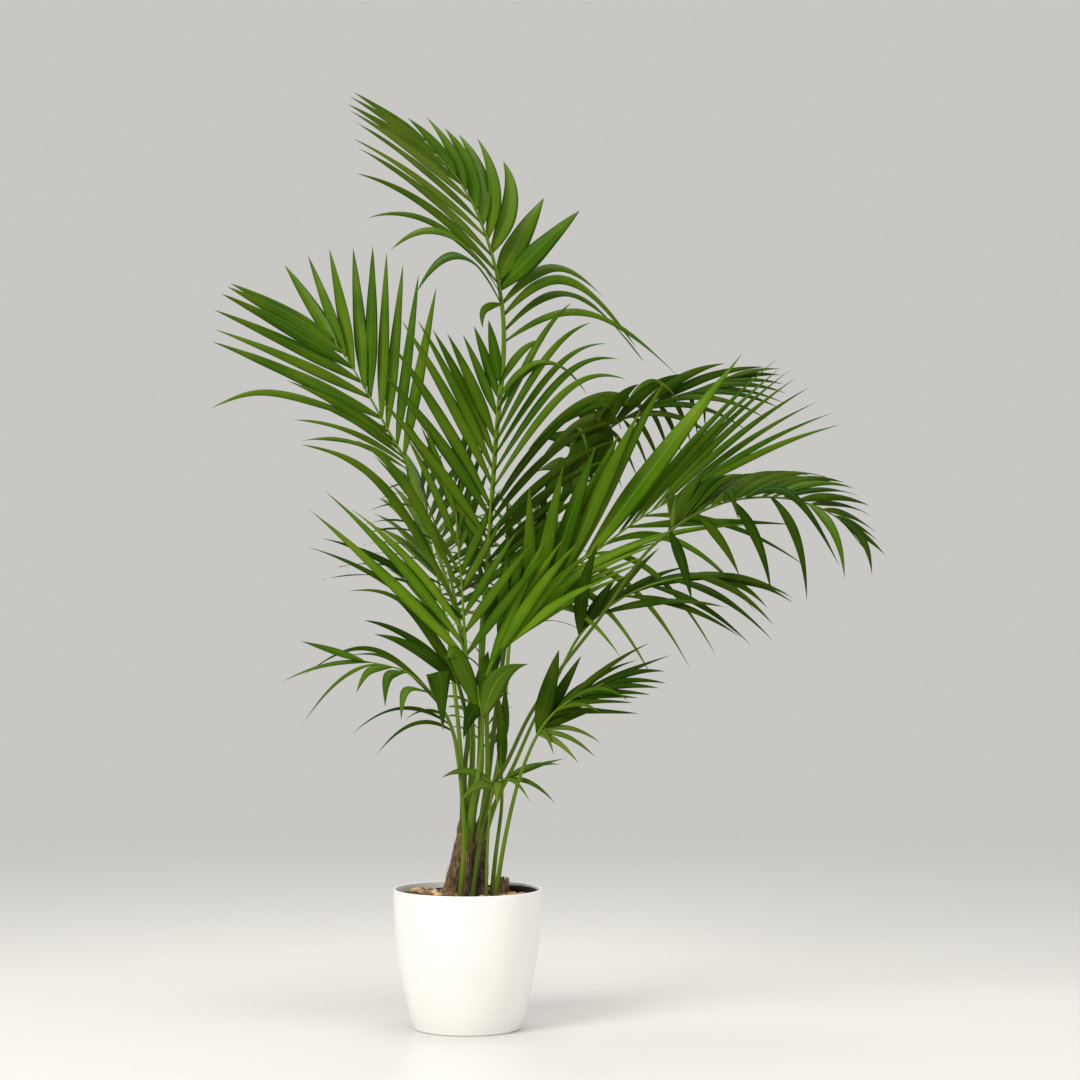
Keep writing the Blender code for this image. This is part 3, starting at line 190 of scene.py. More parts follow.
FRONDS: tuple[Frond, ...] = (
    Frond(
        name="top",
        root=("trunk_left", 0.0095, 60),
        stalk=(
            (0.025, 0.02, 0.49), (0.025, 0.03, 0.624), (0.034, 0.05, 0.834), (0.044, 0.065, 0.988),
            (0.053, 0.078, 1.123),
        ),
        rib=(
            (0.068, 0.085, 1.297), (0.061, 0.08, 1.409), (0.034, 0.07, 1.516),
            (-0.01, 0.055, 1.609), (-0.082, 0.03, 1.696),
        ),
        rows=(
            Row(
                3, 0.02, 0.14, width=(0.017, 0.022), bow=(0.4, 0.55), bend=0.45, crook=0.8,
                tips=((0.413, 0.19, 1.254), (0.345, 0.28, 1.289), (0.326, 0.22, 1.311)),
            ),
            Row(
                1, 0.2, 0.2, width=(0.024, 0.024), bow=(0.42, 0.42), crook=0.8,
                tips=((0.263, 0.26, 1.413),),
            ),
            Row(
                2, 0.25, 0.32, width=(0.041, 0.041), bow=(0.03, 0.03),
                tips=((0.214, 0.17, 1.575), (0.144, 0.2, 1.607)),
            ),
            Row(
                6, 0.42, 0.78, width=(0.035, 0.021), bow=(0.22, 0.12), way=(1.0, 0.0, 0.3),
                tips=(
                    (0.065, 0.23, 1.676), (0.01, 0.21, 1.719), (-0.025, 0.19, 1.73),
                    (-0.049, 0.15, 1.733), (-0.085, 0.1, 1.755), (-0.114, 0.06, 1.742),
                ),
            ),
            Row(
                4, 0.19, 0.335, width=(0.024, 0.015), bow=(0.58, 0.17),
                tips=(
                    (-0.089, -0.13, 1.387), (-0.136, -0.16, 1.464), (-0.178, -0.15, 1.524),
                    (-0.2, -0.15, 1.608),
                ),
            ),
            Row(
                8, 0.42, 0.99, width=(0.014, 0.014), bow=(0.1, 0.02), face=(0.0, 1.0, -0.1),
                tone=Tone.MIDDLE,
                tips=(
                    (-0.202, -0.15, 1.654), (-0.213, -0.12, 1.718), (-0.222, -0.1, 1.747),
                    (-0.21, -0.05, 1.776),
                ),
            ),
            Row(
                1, 0.2, 0.2, width=(0.017, 0.017), bow=(0.55, 0.55), way=(-0.75, 0.0, 0.65),
                crook=0.8,
                tips=((0.027, 0.05, 1.335),),
            ),
        ),
        radius=(0.0044, 0.0048),
        split=0.37,
    ),
    Frond(
        name="left",
        root=("trunk_left", 0.0095, 180),
        stalk=(
            (0.004, 0.01, 0.453), (0.008, 0.03, 0.566), (-0.008, 0.06, 0.718),
            (-0.055, 0.09, 0.891),
        ),
        rib=(
            (-0.114, 0.115, 1.062), (-0.15, 0.12, 1.13), (-0.193, 0.125, 1.208),
            (-0.232, 0.13, 1.274), (-0.263, 0.13, 1.319),
        ),
        rows=(
            Row(
                9, 0.08, 0.98, width=(0.024, 0.024), bow=(0.02, 0.02),
                tips=(
                    (-0.069, 0.27, 1.44), (-0.139, 0.32, 1.488), (-0.199, 0.31, 1.519),
                    (-0.283, 0.31, 1.511), (-0.374, 0.27, 1.479),
                ),
            ),
            Row(
                6, 0.42, 1.0, width=(0.024, 0.024), bow=(0.04, 0.04),
                tips=(
                    (-0.486, -0.01, 1.305), (-0.486, 0.01, 1.357), (-0.464, 0.04, 1.406),
                    (-0.456, 0.07, 1.421),
                ),
            ),
            Row(
                1, 0.33, 0.33, width=(0.015, 0.015), bow=(0.17, 0.17), bend=0.7, crook=0.95,
                tips=((-0.484, -0.03, 1.175),),
            ),
            Row(
                6, 0.0, 0.28, width=(0.014, 0.014), bow=(0.2, 0.03),
                tips=((-0.317, -0.03, 1.114), (-0.344, 0.0, 1.223), (-0.321, 0.03, 1.236)),
            ),
        ),
        radius=(0.0044, 0.0034),
    ),
    Frond(
        name="centre",
        root=("trunk_left", 0.0095, 0),
        stalk=((0.022, -0.025, 0.494), (0.025, -0.045, 0.59)),
        rib=(
            (0.027, -0.07, 0.742), (0.037, -0.09, 0.874), (0.046, -0.11, 1.005),
            (0.054, -0.13, 1.126), (0.062, -0.14, 1.228),
        ),
        rows=(
            Row(
                13, 0.2, 0.99, width=(0.02, 0.02), bow=(0.08, 0.06),
                tips=(
                    (-0.084, -0.18, 1.146), (-0.16, -0.21, 1.195), (-0.115, -0.22, 1.33),
                    (-0.033, -0.2, 1.308), (0.045, -0.14, 1.336),
                ),
            ),
            Row(
                6, 0.25, 0.5, width=(0.017, 0.016), bow=(0.1, 0.24), tone=Tone.DARK,
                tips=((0.237, -0.01, 1.021), (0.282, -0.02, 1.097), (0.257, -0.03, 1.199)),
            ),
            Row(
                5, 0.58, 0.8, width=(0.014, 0.014), bow=(0.36, 0.18), bend=0.6, crook=0.8,
                tips=((0.303, -0.03, 1.231), (0.267, -0.04, 1.305), (0.202, -0.08, 1.377)),
            ),
            Row(
                3, 0.88, 0.97, width=(0.014, 0.014), bow=(0.72, 0.34),
                tips=((0.225, -0.04, 1.206), (0.149, -0.1, 1.299)),
            ),
            Row(
                4, 0.04, 0.2, width=(0.022, 0.022), bow=(0.1, 0.1), tone=Tone.MIDDLE,
                tips=((0.149, -0.02, 0.915), (0.191, -0.02, 0.949), (0.237, -0.02, 0.996)),
            ),
        ),
        radius=(0.0044, 0.004),
    ),
    Frond(
        name="front_left",
        root=("trunk_left", 0.0095, 300),
        stalk=((0.009, -0.045, 0.476), (0.012, -0.06, 0.562)),
        rib=(
            (0.006, -0.08, 0.648), (-0.002, -0.1, 0.743), (-0.009, -0.12, 0.855),
            (-0.017, -0.125, 0.949), (-0.02, -0.13, 1.042),
        ),
        rows=(
            Row(
                3, 0.13, 0.27, width=(0.024, 0.019), bow=(0.05, 0.13), slim=1.25, tone=Tone.PAINTED_LIGHT,
                tips=((-0.29, -0.22, 0.992), (-0.256, -0.25, 1.021), (-0.21, -0.2, 0.987)),
            ),
            Row(
                2, 0.24, 0.32, width=(0.015, 0.015), bow=(0.14, 0.16), slim=1.3, tone=Tone.DARK,
                tips=((-0.298, -0.11, 0.919), (-0.276, -0.08, 0.934)),
            ),
            Row(
                2, 0.35, 0.44, width=(0.018, 0.018), bow=(0.2, 0.12), way=(0.7, 0.0, 0.7),
                bend=0.72, crook=0.85,
                tips=((-0.3, -0.27, 1.106), (-0.195, -0.27, 1.11)),
            ),
            Row(
                4, 0.56, 0.99, width=(0.014, 0.014), bow=(0.12, 0.05),
                tips=(
                    (-0.171, -0.2, 1.085), (-0.111, -0.2, 1.122), (-0.076, -0.18, 1.141),
                    (-0.026, -0.14, 1.131),
                ),
            ),
            Row(
                1, 0.15, 0.15, width=(0.01, 0.01), bow=(0.22, 0.22), bend=0.62, crook=0.92,
                tips=((-0.217, -0.14, 0.831),),
            ),
            Row(
                9, 0.16, 0.98, width=(0.018, 0.014), bow=(0.04, 0.04), tone=Tone.MIDDLE,
                tips=(
                    (0.158, -0.15, 0.911), (0.101, -0.12, 0.945), (0.063, -0.08, 1.024),
                    (0.033, -0.08, 1.118), (0.006, -0.08, 1.159),
                ),
            ),
        ),
        radius=(0.0044, 0.0034),
    ),
    Frond(
        name="right_tall",
        root=("trunk_right", 0.0052, 200),
        stalk=((0.038, -0.04, 0.476), (0.038, -0.06, 0.572)),
        rib=(
            (0.038, -0.085, 0.675), (0.101, -0.1, 0.776), (0.175, -0.115, 0.859),
            (0.25, -0.12, 0.915), (0.343, -0.12, 0.982), (0.446, -0.12, 1.035),
        ),
        rows=(
            Row(
                2, 0.1, 0.1, width=(0.024, 0.024), bow=(0.03, 0.03),
                tips=((0.078, -0.14, 0.941), (0.117, -0.13, 0.952)),
            ),
            Row(
                6, 0.27, 0.46, width=(0.029, 0.031), bow=(0.03, 0.05),
                tips=(
                    (0.116, -0.17, 1.03), (0.221, -0.17, 1.093), (0.297, -0.17, 1.141),
                    (0.363, -0.18, 1.222),
                ),
            ),
            Row(
                3, 0.2, 0.38, width=(0.02, 0.02), bow=(0.08, 0.08), tone=Tone.DARK,
                tips=((0.073, -0.02, 1.006), (0.233, -0.03, 1.089)),
            ),
            Row(
                1, 0.53, 0.53, width=(0.042, 0.042), bow=(0.02, 0.02), slim=1.25, tone=Tone.PAINTED_LIGHT,
                tips=((0.519, -0.17, 1.274),),
            ),
            Row(
                8, 0.66, 0.97, width=(0.013, 0.013), bow=(0.09, 0.09), slim=1.35,
                tips=((0.588, -0.04, 1.271), (0.639, -0.07, 1.227), (0.71, -0.05, 1.147)),
            ),
            Row(
                6, 0.0, 0.1, width=(0.021, 0.024), bow=(0.1, 0.12), tone=Tone.PAINTED_LIGHT,
                tips=(
                    (0.153, -0.175, 0.937), (0.201, -0.175, 0.93), (0.238, -0.17, 0.9),
                    (0.26, -0.16, 0.86),
                ),
            ),
            Row(
                9, 0.1, 0.42, width=(0.013, 0.013), bow=(0.1, 0.14), tone=Tone.PAINTED_LIGHT,
                tips=(
                    (0.313, -0.15, 0.863), (0.353, -0.15, 0.915), (0.402, -0.15, 0.947),
                    (0.532, -0.14, 0.956),
                ),
            ),
            Row(
                5, 0.3, 0.62, width=(0.014, 0.017), bow=(0.3, 0.42), tone=Tone.PAINTED_LIGHT,
                tips=(
                    (0.288, -0.08, 0.712), (0.344, -0.06, 0.679), (0.426, -0.03, 0.687),
                    (0.467, -0.08, 0.712), (0.547, -0.04, 0.792),
                ),
            ),
            Row(
                2, 0.7, 0.76, width=(0.014, 0.014), bow=(0.05, 0.2),
                tips=((0.61, -0.08, 0.956), (0.636, -0.1, 0.881)),
            ),
        ),
        radius=(0.004, 0.004),
        split=0.5,
    ),
    Frond(
        name="right_arch",
        root=("soil", 0.0105, -0.055),
        stalk=(
            (0.027, -0.05, 0.373), (0.042, -0.056, 0.445), (0.078, -0.07, 0.516),
            (0.119, -0.09, 0.602), (0.175, -0.115, 0.687), (0.249, -0.15, 0.785),
            (0.322, -0.2, 0.893),
        ),
        rib=(
            (0.375, -0.22, 0.945), (0.431, -0.23, 0.981), (0.504, -0.23, 1.005),
            (0.597, -0.22, 1.005), (0.681, -0.2, 0.974), (0.736, -0.19, 0.915),
        ),
        rows=(
            Row(
                3, 0.0, 0.05, width=(0.026, 0.026), bow=(0.3, 0.3), tone=Tone.DARK,
                tips=((0.445, -0.18, 1.048), (0.479, -0.17, 1.054), (0.516, -0.16, 1.052)),
            ),
            Row(
                15, 0.03, 0.85, width=(0.024, 0.015), bow=(0.24, 0.12), slim=1.35, tone=Tone.DARK,
                tips=(
                    (0.534, -0.12, 1.049), (0.664, -0.08, 1.047), (0.745, -0.1, 1.005),
                    (0.778, -0.17, 0.897),
                ),
            ),
            Row(
                6, 0.02, 0.8, width=(0.021, 0.015), bow=(0.08, 0.3), way=(0.6, 0.0, 0.8), slim=1.2,
                tips=(
                    (0.41, -0.26, 0.819), (0.503, -0.28, 0.866), (0.557, -0.29, 0.832),
                    (0.614, -0.3, 0.823), (0.692, -0.3, 0.858), (0.739, -0.28, 0.87),
                ),
            ),
            Row(
                3, 0.03, 0.42, width=(0.019, 0.019), bow=(0.95, 0.5), crook=0.8,
                tips=((0.377, -0.3, 0.966), (0.494, -0.33, 0.964), (0.674, -0.33, 0.876)),
            ),
        ),
        tone=Tone.DARK,
        radius=(0.0042, 0.0028),
        face=(0.0, -0.85, 0.5),
        split=0.48,
        seed=2,
    ),
    Frond(
        name="right_back",
        root=("trunk_back", 0.0082, 0),
        stalk=(
            (0.042, 0.06, 0.507), (0.061, 0.1, 0.659), (0.083, 0.14, 0.813), (0.118, 0.18, 0.961),
        ),
        rib=(
            (0.181, 0.205, 1.068), (0.253, 0.22, 1.135), (0.336, 0.23, 1.187), (0.435, 0.24, 1.223),
            (0.53, 0.24, 1.259),
        ),
        rows=(
            Row(
                3, 0.02, 0.34, width=(0.016, 0.016), bow=(1.0, 0.7), crook=0.85,
                face=(0.0, 1.0, 0.1), tone=Tone.MIDDLE,
                tips=((0.236, 0.08, 1.075), (0.297, 0.11, 1.147), (0.419, 0.15, 1.188)),
            ),
            Row(
                4, 0.2, 0.5, width=(0.034, 0.034), bow=(0.16, 0.34), bend=0.42,
                face=(0.0, -1.0, 0.3),
                tips=(
                    (0.2, 0.12, 1.008), (0.163, 0.12, 1.031), (0.128, 0.12, 1.074),
                    (0.113, 0.12, 1.101),
                ),
            ),
            Row(
                3, 0.1, 0.34, width=(0.036, 0.036), bow=(0.12, 0.12), face=(0.0, -1.0, 0.1),
                tips=(
                    (0.138, 0.2, 0.999), (0.162, 0.22, 0.981), (0.19, 0.24, 1.005),
                    (0.237, 0.25, 1.049),
                ),
            ),
            Row(
                3, 0.02, 0.26, width=(0.034, 0.034), bow=(0.15, 0.25), face=(0.0, -1.0, 0.2),
                tips=((0.13, 0.26, 1.069), (0.148, 0.26, 1.129), (0.202, 0.26, 1.192)),
            ),
            Row(
                4, 0.22, 0.58, width=(0.024, 0.016), bow=(0.24, 0.16), slim=1.25,
                face=(0.0, -1.0, 0.1),
                tips=(
                    (0.334, 0.16, 1.233), (0.42, 0.16, 1.251), (0.509, 0.18, 1.273),
                    (0.583, 0.2, 1.267),
                ),
            ),
            Row(
                9, 0.4, 0.95, width=(0.014, 0.014), bow=(0.3, 0.1), slim=1.2,
                tips=(
                    (0.497, 0.15, 1.123), (0.607, 0.16, 1.173), (0.623, 0.18, 1.224),
                    (0.613, 0.24, 1.271),
                ),
            ),
            Row(
                11, 0.1, 0.8, width=(0.01, 0.01), bow=(0.2, 0.25),
                tips=(
                    (0.258, 0.28, 1.01), (0.338, 0.3, 1.054), (0.419, 0.32, 1.087),
                    (0.466, 0.3, 1.154),
                ),
            ),
        ),
        tone=Tone.DARK,
        face=(0.0, -0.85, 0.5),
        split=0.6,
    ),
    Frond(
        name="right_low",
        root=("trunk_right", 0.0052, 20),
        stalk=(
            (0.056, -0.015, 0.436), (0.089, -0.03, 0.504), (0.127, -0.05, 0.59),
            (0.168, -0.07, 0.666),
        ),
        rib=(
            (0.209, -0.09, 0.746), (0.258, -0.1, 0.799), (0.334, -0.11, 0.842),
            (0.419, -0.11, 0.861), (0.503, -0.1, 0.855),
        ),
        rows=(
            Row(
                3, 0.01, 0.1, width=(0.027, 0.02), bow=(0.1, 0.05), way=(-1.0, 0.0, 0.3),
                face=(0.0, -1.0, 0.1),
                tips=((0.246, -0.23, 0.93), (0.281, -0.16, 0.861), (0.357, -0.15, 0.917)),
            ),
            Row(
                6, 0.2, 0.95, width=(0.017, 0.017), bow=(0.18, 0.18), slim=1.3,
                tips=((0.421, -0.06, 0.881), (0.585, -0.08, 0.836), (0.611, -0.09, 0.812)),
            ),
            Row(
                6, 0.2, 0.9, width=(0.016, 0.016), bow=(0.15, 0.25), slim=1.3,
                tips=(
                    (0.485, -0.16, 0.802), (0.529, -0.17, 0.728), (0.576, -0.15, 0.75),
                    (0.569, -0.12, 0.796),
                ),
            ),
        ),
        tone=Tone.DARK,
        radius=(0.0036, 0.0026),
        face=(0.0, -0.8, 0.6),
    ),
    Frond(
        name="right_small",
        root=("soil", 0.0535, -0.06),
        stalk=((0.07, -0.085, 0.357), (0.088, -0.11, 0.442), (0.106, -0.13, 0.505)),
        rib=(
            (0.131, -0.15, 0.564), (0.16, -0.16, 0.606), (0.203, -0.17, 0.639),
            (0.258, -0.175, 0.666),
        ),
        rows=(
            Row(
                2, 0.02, 0.1, width=(0.036, 0.025), bow=(0.04, 0.04),
                tips=((0.173, -0.2, 0.731), (0.216, -0.15, 0.716)),
            ),
            Row(
                3, 0.3, 0.6, width=(0.012, 0.012), bow=(0.16, 0.06), slim=1.3,
                tips=((0.32, -0.1, 0.707), (0.345, -0.12, 0.741), (0.378, -0.14, 0.716)),
            ),
            Row(
                7, 0.4, 0.98, width=(0.01, 0.012), bow=(0.02, 0.16),
                tips=(
                    (0.314, -0.24, 0.615), (0.306, -0.24, 0.639), (0.34, -0.22, 0.644),
                    (0.366, -0.2, 0.661), (0.374, -0.19, 0.683),
                ),
            ),
            Row(
                3, 0.12, 0.4, width=(0.02, 0.02), bow=(0.1, 0.1),
                tips=((0.25, -0.12, 0.616), (0.275, -0.11, 0.644), (0.262, -0.1, 0.675)),
            ),
            Row(
                2, 0.3, 0.6, width=(0.01, 0.01), bow=(0.25, 0.3), tone=Tone.MIDDLE,
                tips=((0.253, -0.26, 0.611), (0.297, -0.26, 0.635)),
            ),
            Row(
                4, 0.03, 0.1, width=(0.012, 0.008), bow=(0.25, 0.3), face=(0.0, 1.0, -0.3),
                tips=(
                    (0.213, -0.21, 0.522), (0.24, -0.18, 0.529), (0.252, -0.12, 0.551),
                    (0.162, -0.19, 0.53),
                ),
            ),
        ),
        tone=Tone.DARK,
        radius=(0.0044, 0.003),
    ),
    Frond(
        name="front_small",
        root=("soil", 0.037, -0.075),
        stalk=((0.04, -0.08, 0.366),),
        rib=((0.048, -0.09, 0.457), (0.057, -0.095, 0.473), (0.078, -0.1, 0.484)),
        rows=(
            Row(
                3, 0.1, 0.5, width=(0.017, 0.017), bow=(0.5, 0.3), face=(0.0, 1.0, -0.3),
                tone=Tone.MIDDLE,
                tips=(
                    (-0.011, -0.14, 0.443), (-0.047, -0.12, 0.484), (0.055, -0.16, 0.44),
                ),
            ),
            Row(
                4, 0.4, 0.98, width=(0.01, 0.01), bow=(0.5, 0.08), slim=1.2, tone=Tone.MIDDLE,
                tips=(
                    (0.121, -0.14, 0.443), (0.164, -0.12, 0.439), (0.177, -0.12, 0.512),
                    (0.187, -0.08, 0.52),
                ),
            ),
        ),
        tone=Tone.DARK,
        radius=(0.0028, 0.0022),
    ),
    Frond(
        name="left_low",
        root=("soil", -0.0125, -0.055),
        stalk=((-0.005, -0.065, 0.361), (-0.009, -0.08, 0.458), (-0.016, -0.09, 0.521)),
        rib=(
            (-0.023, -0.1, 0.563), (-0.038, -0.11, 0.603), (-0.065, -0.13, 0.645),
            (-0.115, -0.15, 0.687), (-0.192, -0.16, 0.707),
        ),
        rows=(
            Row(
                3, 0.02, 0.15, width=(0.009, 0.009), bow=(0.5, 0.35), slim=1.3, tone=Tone.DARK,
                tips=(
                    (-0.172, -0.16, 0.526), (-0.212, -0.1, 0.568), (-0.113, -0.15, 0.599),
                ),
            ),
            Row(
                3, 0.42, 0.8, width=(0.023, 0.015), bow=(0.42, 0.3), way=(-0.5, 0.0, 0.9),
                crook=0.93,
                tips=(
                    (-0.116, -0.21, 0.601), (-0.148, -0.22, 0.624), (-0.203, -0.2, 0.65),
                ),
            ),
            Row(
                3, 0.85, 1.0, width=(0.007, 0.013), bow=(0.3, 0.02), slim=1.2,
                tips=(
                    (-0.297, -0.2, 0.591), (-0.347, -0.12, 0.665), (-0.309, -0.18, 0.742),
                ),
            ),
            Row(
                2, 0.25, 0.35, width=(0.01, 0.01), bow=(0.5, 0.3), crook=0.8, slim=1.2,
                tone=Tone.DARK,
                tips=((-0.303, -0.11, 0.674), (-0.225, -0.13, 0.716)),
            ),
            Row(
                1, 0.34, 0.34, width=(0.054, 0.054), bow=(1.5, 1.5), crook=0.93,
                face=(0.15, -1.0, 0.2), tone=Tone.DARK,
                tips=((-0.037, -0.19, 0.572),),
            ),
        ),
    ),
    Frond(
        name="left_dark",
        root=("trunk_left", 0.0095, 240),
        stalk=((-0.005, -0.058, 0.487), (0.002, -0.07, 0.572)),
        rib=((-0.012, -0.085, 0.648), (-0.027, -0.09, 0.686), (-0.04, -0.095, 0.714)),
        rows=(
            Row(
                2, 0.1, 0.4, width=(0.022, 0.017), bow=(0.2, 0.2),
                tips=((-0.172, -0.16, 0.758), (-0.192, -0.13, 0.781)),
            ),
            Row(
                1, 0.25, 0.25, width=(0.022, 0.022), bow=(0.14, 0.14), way=(0.7, 0.0, 0.7),
                slim=1.4,
                tips=((-0.156, -0.06, 0.836),),
            ),
        ),
        tone=Tone.DARK,
    ),
    Frond(
        name="front_low",
        root=("trunk_middle", 0.0, 0),
        stalk=((0.014, -0.085, 0.442), (0.026, -0.1, 0.518)),
        rib=((0.03, -0.11, 0.59), (0.024, -0.115, 0.631), (0.022, -0.12, 0.659)),
        rows=(
            Row(
                1, 0.2, 0.2, width=(0.046, 0.046), bow=(0.44, 0.44), bend=0.8, crook=0.85,
                face=(-0.2, -1.0, 0.3),
                tips=((-0.034, -0.16, 0.713),),
            ),
            Row(
                1, 0.1, 0.1, width=(0.048, 0.048), bow=(0.46, 0.46), bend=0.3, crook=0.8, slim=1.3,
                face=(-0.2, 1.0, -0.3),
                tips=((0.119, -0.15, 0.7),),
            ),
            Row(
                2, 0.1, 0.6, width=(0.03, 0.03), bow=(0.1, 0.1), face=(0.2, -1.0, 0.3),
                tone=Tone.DARK,
                tips=((0.062, -0.04, 0.686), (0.041, -0.04, 0.722)),
            ),
            Row(
                1, 0.4, 0.4, width=(0.028, 0.028), bow=(0.5, 0.5), face=(0.1, -1.0, 0.2),
                tone=Tone.DARK,
                tips=((-0.007, -0.13, 0.561),),
            ),
        ),
    ),
    Frond(
        name="spear",
        root=("soil", 0.046, 0.01),
        stalk=((0.054, 0.012, 0.334), (0.064, 0.016, 0.412)),
        rib=((0.065, 0.018, 0.468), (0.063, 0.018, 0.506), (0.063, 0.018, 0.538)),
        rows=(
            Row(
                2, 0.1, 0.9, width=(0.022, 0.022), bow=(0.06, 0.06), way=(1.0, 0.0, 0.0),
                tips=((0.056, 0.0, 0.644), (0.071, 0.02, 0.655)),
            ),
        ),
        radius=(0.004, 0.003),
    ),
    Frond(
        name="back_left_low",
        root=("trunk_back", 0.0082, 190),
        stalk=((0.007, 0.07, 0.506), (-0.002, 0.13, 0.658)),
        rib=(
            (-0.025, 0.19, 0.792), (-0.048, 0.24, 0.89), (-0.077, 0.27, 0.98), (-0.105, 0.28, 1.05),
        ),
        rows=(
            Row(
                9, 0.02, 0.95, width=(0.009, 0.009), bow=(0.22, 0.22), slim=1.2,
                face=(0.0, -0.5, 0.85),
                tips=(
                    (-0.286, 0.13, 0.856), (-0.21, 0.15, 0.914), (-0.206, 0.16, 0.969),
                    (-0.166, 0.18, 1.028),
                ),
            ),
            Row(
                10, 0.05, 0.95, width=(0.014, 0.014), bow=(0.1, 0.1),
                tips=(
                    (0.067, 0.38, 0.829), (0.056, 0.43, 0.93), (-0.006, 0.46, 1.053),
                    (-0.087, 0.44, 1.134),
                ),
            ),
        ),
        tone=Tone.DARK,
    ),
    Frond(
        name="back_right",
        root=("trunk_back", 0.0082, 90),
        stalk=((0.051, 0.1, 0.465), (0.066, 0.17, 0.577)),
        rib=(
            (0.076, 0.27, 0.715), (0.086, 0.34, 0.801), (0.101, 0.42, 0.877), (0.121, 0.5, 0.938),
        ),
        rows=(
            Row(
                10, 0.1, 0.95, width=(0.028, 0.028), bow=(0.15, 0.15),
                tips=((-0.076, 0.48, 0.786), (-0.072, 0.6, 0.92), (0.027, 0.72, 1.037)),
            ),
            Row(
                10, 0.1, 0.95, width=(0.028, 0.028), bow=(0.2, 0.2),
                tips=((0.231, 0.48, 0.741), (0.272, 0.6, 0.846), (0.202, 0.71, 1.005)),
            ),
        ),
        face=(0.2, 0.5, 0.8),
    ),
    Frond(
        name="back_left",
        root=("trunk_left", 0.0095, 120),
        stalk=((-0.013, 0.11, 0.464), (-0.023, 0.17, 0.577)),
        rib=(
            (-0.041, 0.25, 0.716), (-0.059, 0.32, 0.81), (-0.081, 0.4, 0.91), (-0.099, 0.48, 0.971),
        ),
        rows=(
            Row(
                10, 0.1, 0.95, width=(0.028, 0.028), bow=(0.15, 0.15),
                tips=((-0.178, 0.42, 0.877), (-0.211, 0.55, 0.972), (-0.153, 0.68, 1.117)),
            ),
            Row(
                10, 0.1, 0.95, width=(0.028, 0.028), bow=(0.2, 0.2),
                tips=((0.067, 0.42, 0.795), (0.071, 0.55, 0.93), (-0.015, 0.68, 1.1)),
            ),
        ),
        face=(-0.2, 0.5, 0.8),
    ),
    Frond(
        name="back_low",
        root=("soil", 0.02, 0.0735),
        stalk=((0.033, 0.1, 0.388),),
        rib=(
            (0.034, 0.18, 0.494), (0.034, 0.28, 0.571), (0.037, 0.36, 0.627), (0.04, 0.42, 0.655),
        ),
        rows=(
            Row(
                8, 0.1, 0.98, width=(0.02, 0.015), bow=(0.3, 0.3),
                tips=((-0.04, 0.24, 0.561), (-0.056, 0.36, 0.627), (-0.023, 0.52, 0.723)),
            ),
            Row(
                8, 0.1, 0.98, width=(0.02, 0.015), bow=(0.3, 0.3),
                tips=((0.077, 0.24, 0.561), (0.081, 0.36, 0.627), (0.061, 0.52, 0.723)),
            ),
        ),
        tone=Tone.DARK,
        face=(0.0, 0.5, 0.8),
    ),
)

SOIL_LEVEL = 0.2530
SOIL_DIP = 0.0130
SOIL_DIP_CENTRE: Pair = (0.102, 0.046)
SOIL_DIP_REACH = 0.045
SOIL_HEAP = 0.0080
SOIL_SLOPE = 0.0090


def unit(vector: np.ndarray) -> np.ndarray:
    """The vector at length one."""
    return vector / max(float(np.linalg.norm(vector)), 1e-9)


def between(pair: Pair, share: float) -> float:
    """Value between the two ends of a pair."""
    return pair[0] + (pair[1] - pair[0]) * share


def curve_through(points: list | tuple, steps: int = CURVE_STEPS) -> np.ndarray:
    """Smooth curve through points.

    Args:
        points: Points that the curve passes, in order.
        steps: Steps between each pair of them.

    Returns:
        The curve's points, one row each.
    """
    knots = np.array(points, float)
    ends = np.vstack([2 * knots[0] - knots[1], knots, 2 * knots[-1] - knots[-2]])
    curve = []
    for index in range(len(knots) - 1):
        a, b, c, d = ends[index : index + 4]
        for t in np.linspace(0.0, 1.0, steps, endpoint=False):
            curve.append(
                0.5
                * (
                    2 * b
                    + (c - a) * t
                    + (2 * a - 5 * b + 4 * c - d) * t**2
                    + (3 * b - a - 3 * c + d) * t**3
                )
            )
    curve.append(knots[-1])
    return np.array(curve)


def lengths_along(curve: np.ndarray) -> np.ndarray:
    """Distance from the start of the curve to each of its points."""
    gaps = np.linalg.norm(np.diff(curve, axis=0), axis=1)
    return np.concatenate([[0.0], np.cumsum(gaps)])


def points_at(curve: np.ndarray, places: np.ndarray) -> np.ndarray:
    """Points of the curve at distances from its start."""
    run = lengths_along(curve)
    return np.stack([np.interp(places, run, curve[:, axis]) for axis in range(3)], axis=1)


def tangents_of(points: np.ndarray) -> np.ndarray:
    """Direction of a line of points at each of them."""
    slopes = np.gradient(points, axis=0)
    return slopes / np.maximum(np.linalg.norm(slopes, axis=1), 1e-9)[:, None]


def carried_sides(tangents: np.ndarray, facing: Point) -> tuple[np.ndarray, np.ndarray]:
    """Frames along a line, carried without a twist.

    Args:
        tangents: Direction of the line at each station.
        facing: Direction that the frames face where they can.

    Returns:
        The side and the facing direction at each station.
    """
    wanted = unit(np.array(facing, float))
    start = int(np.argmin(np.abs(tangents @ wanted)))
    up = np.zeros_like(tangents)
    up[start] = unit(wanted - tangents[start] * (tangents[start] @ wanted))
    for index in [*range(start + 1, len(tangents)), *range(start - 1, -1, -1)]:
        near = up[index - 1] if index > start else up[index + 1]
        up[index] = unit(near - tangents[index] * (tangents[index] @ near))
    return np.cross(tangents, up), up


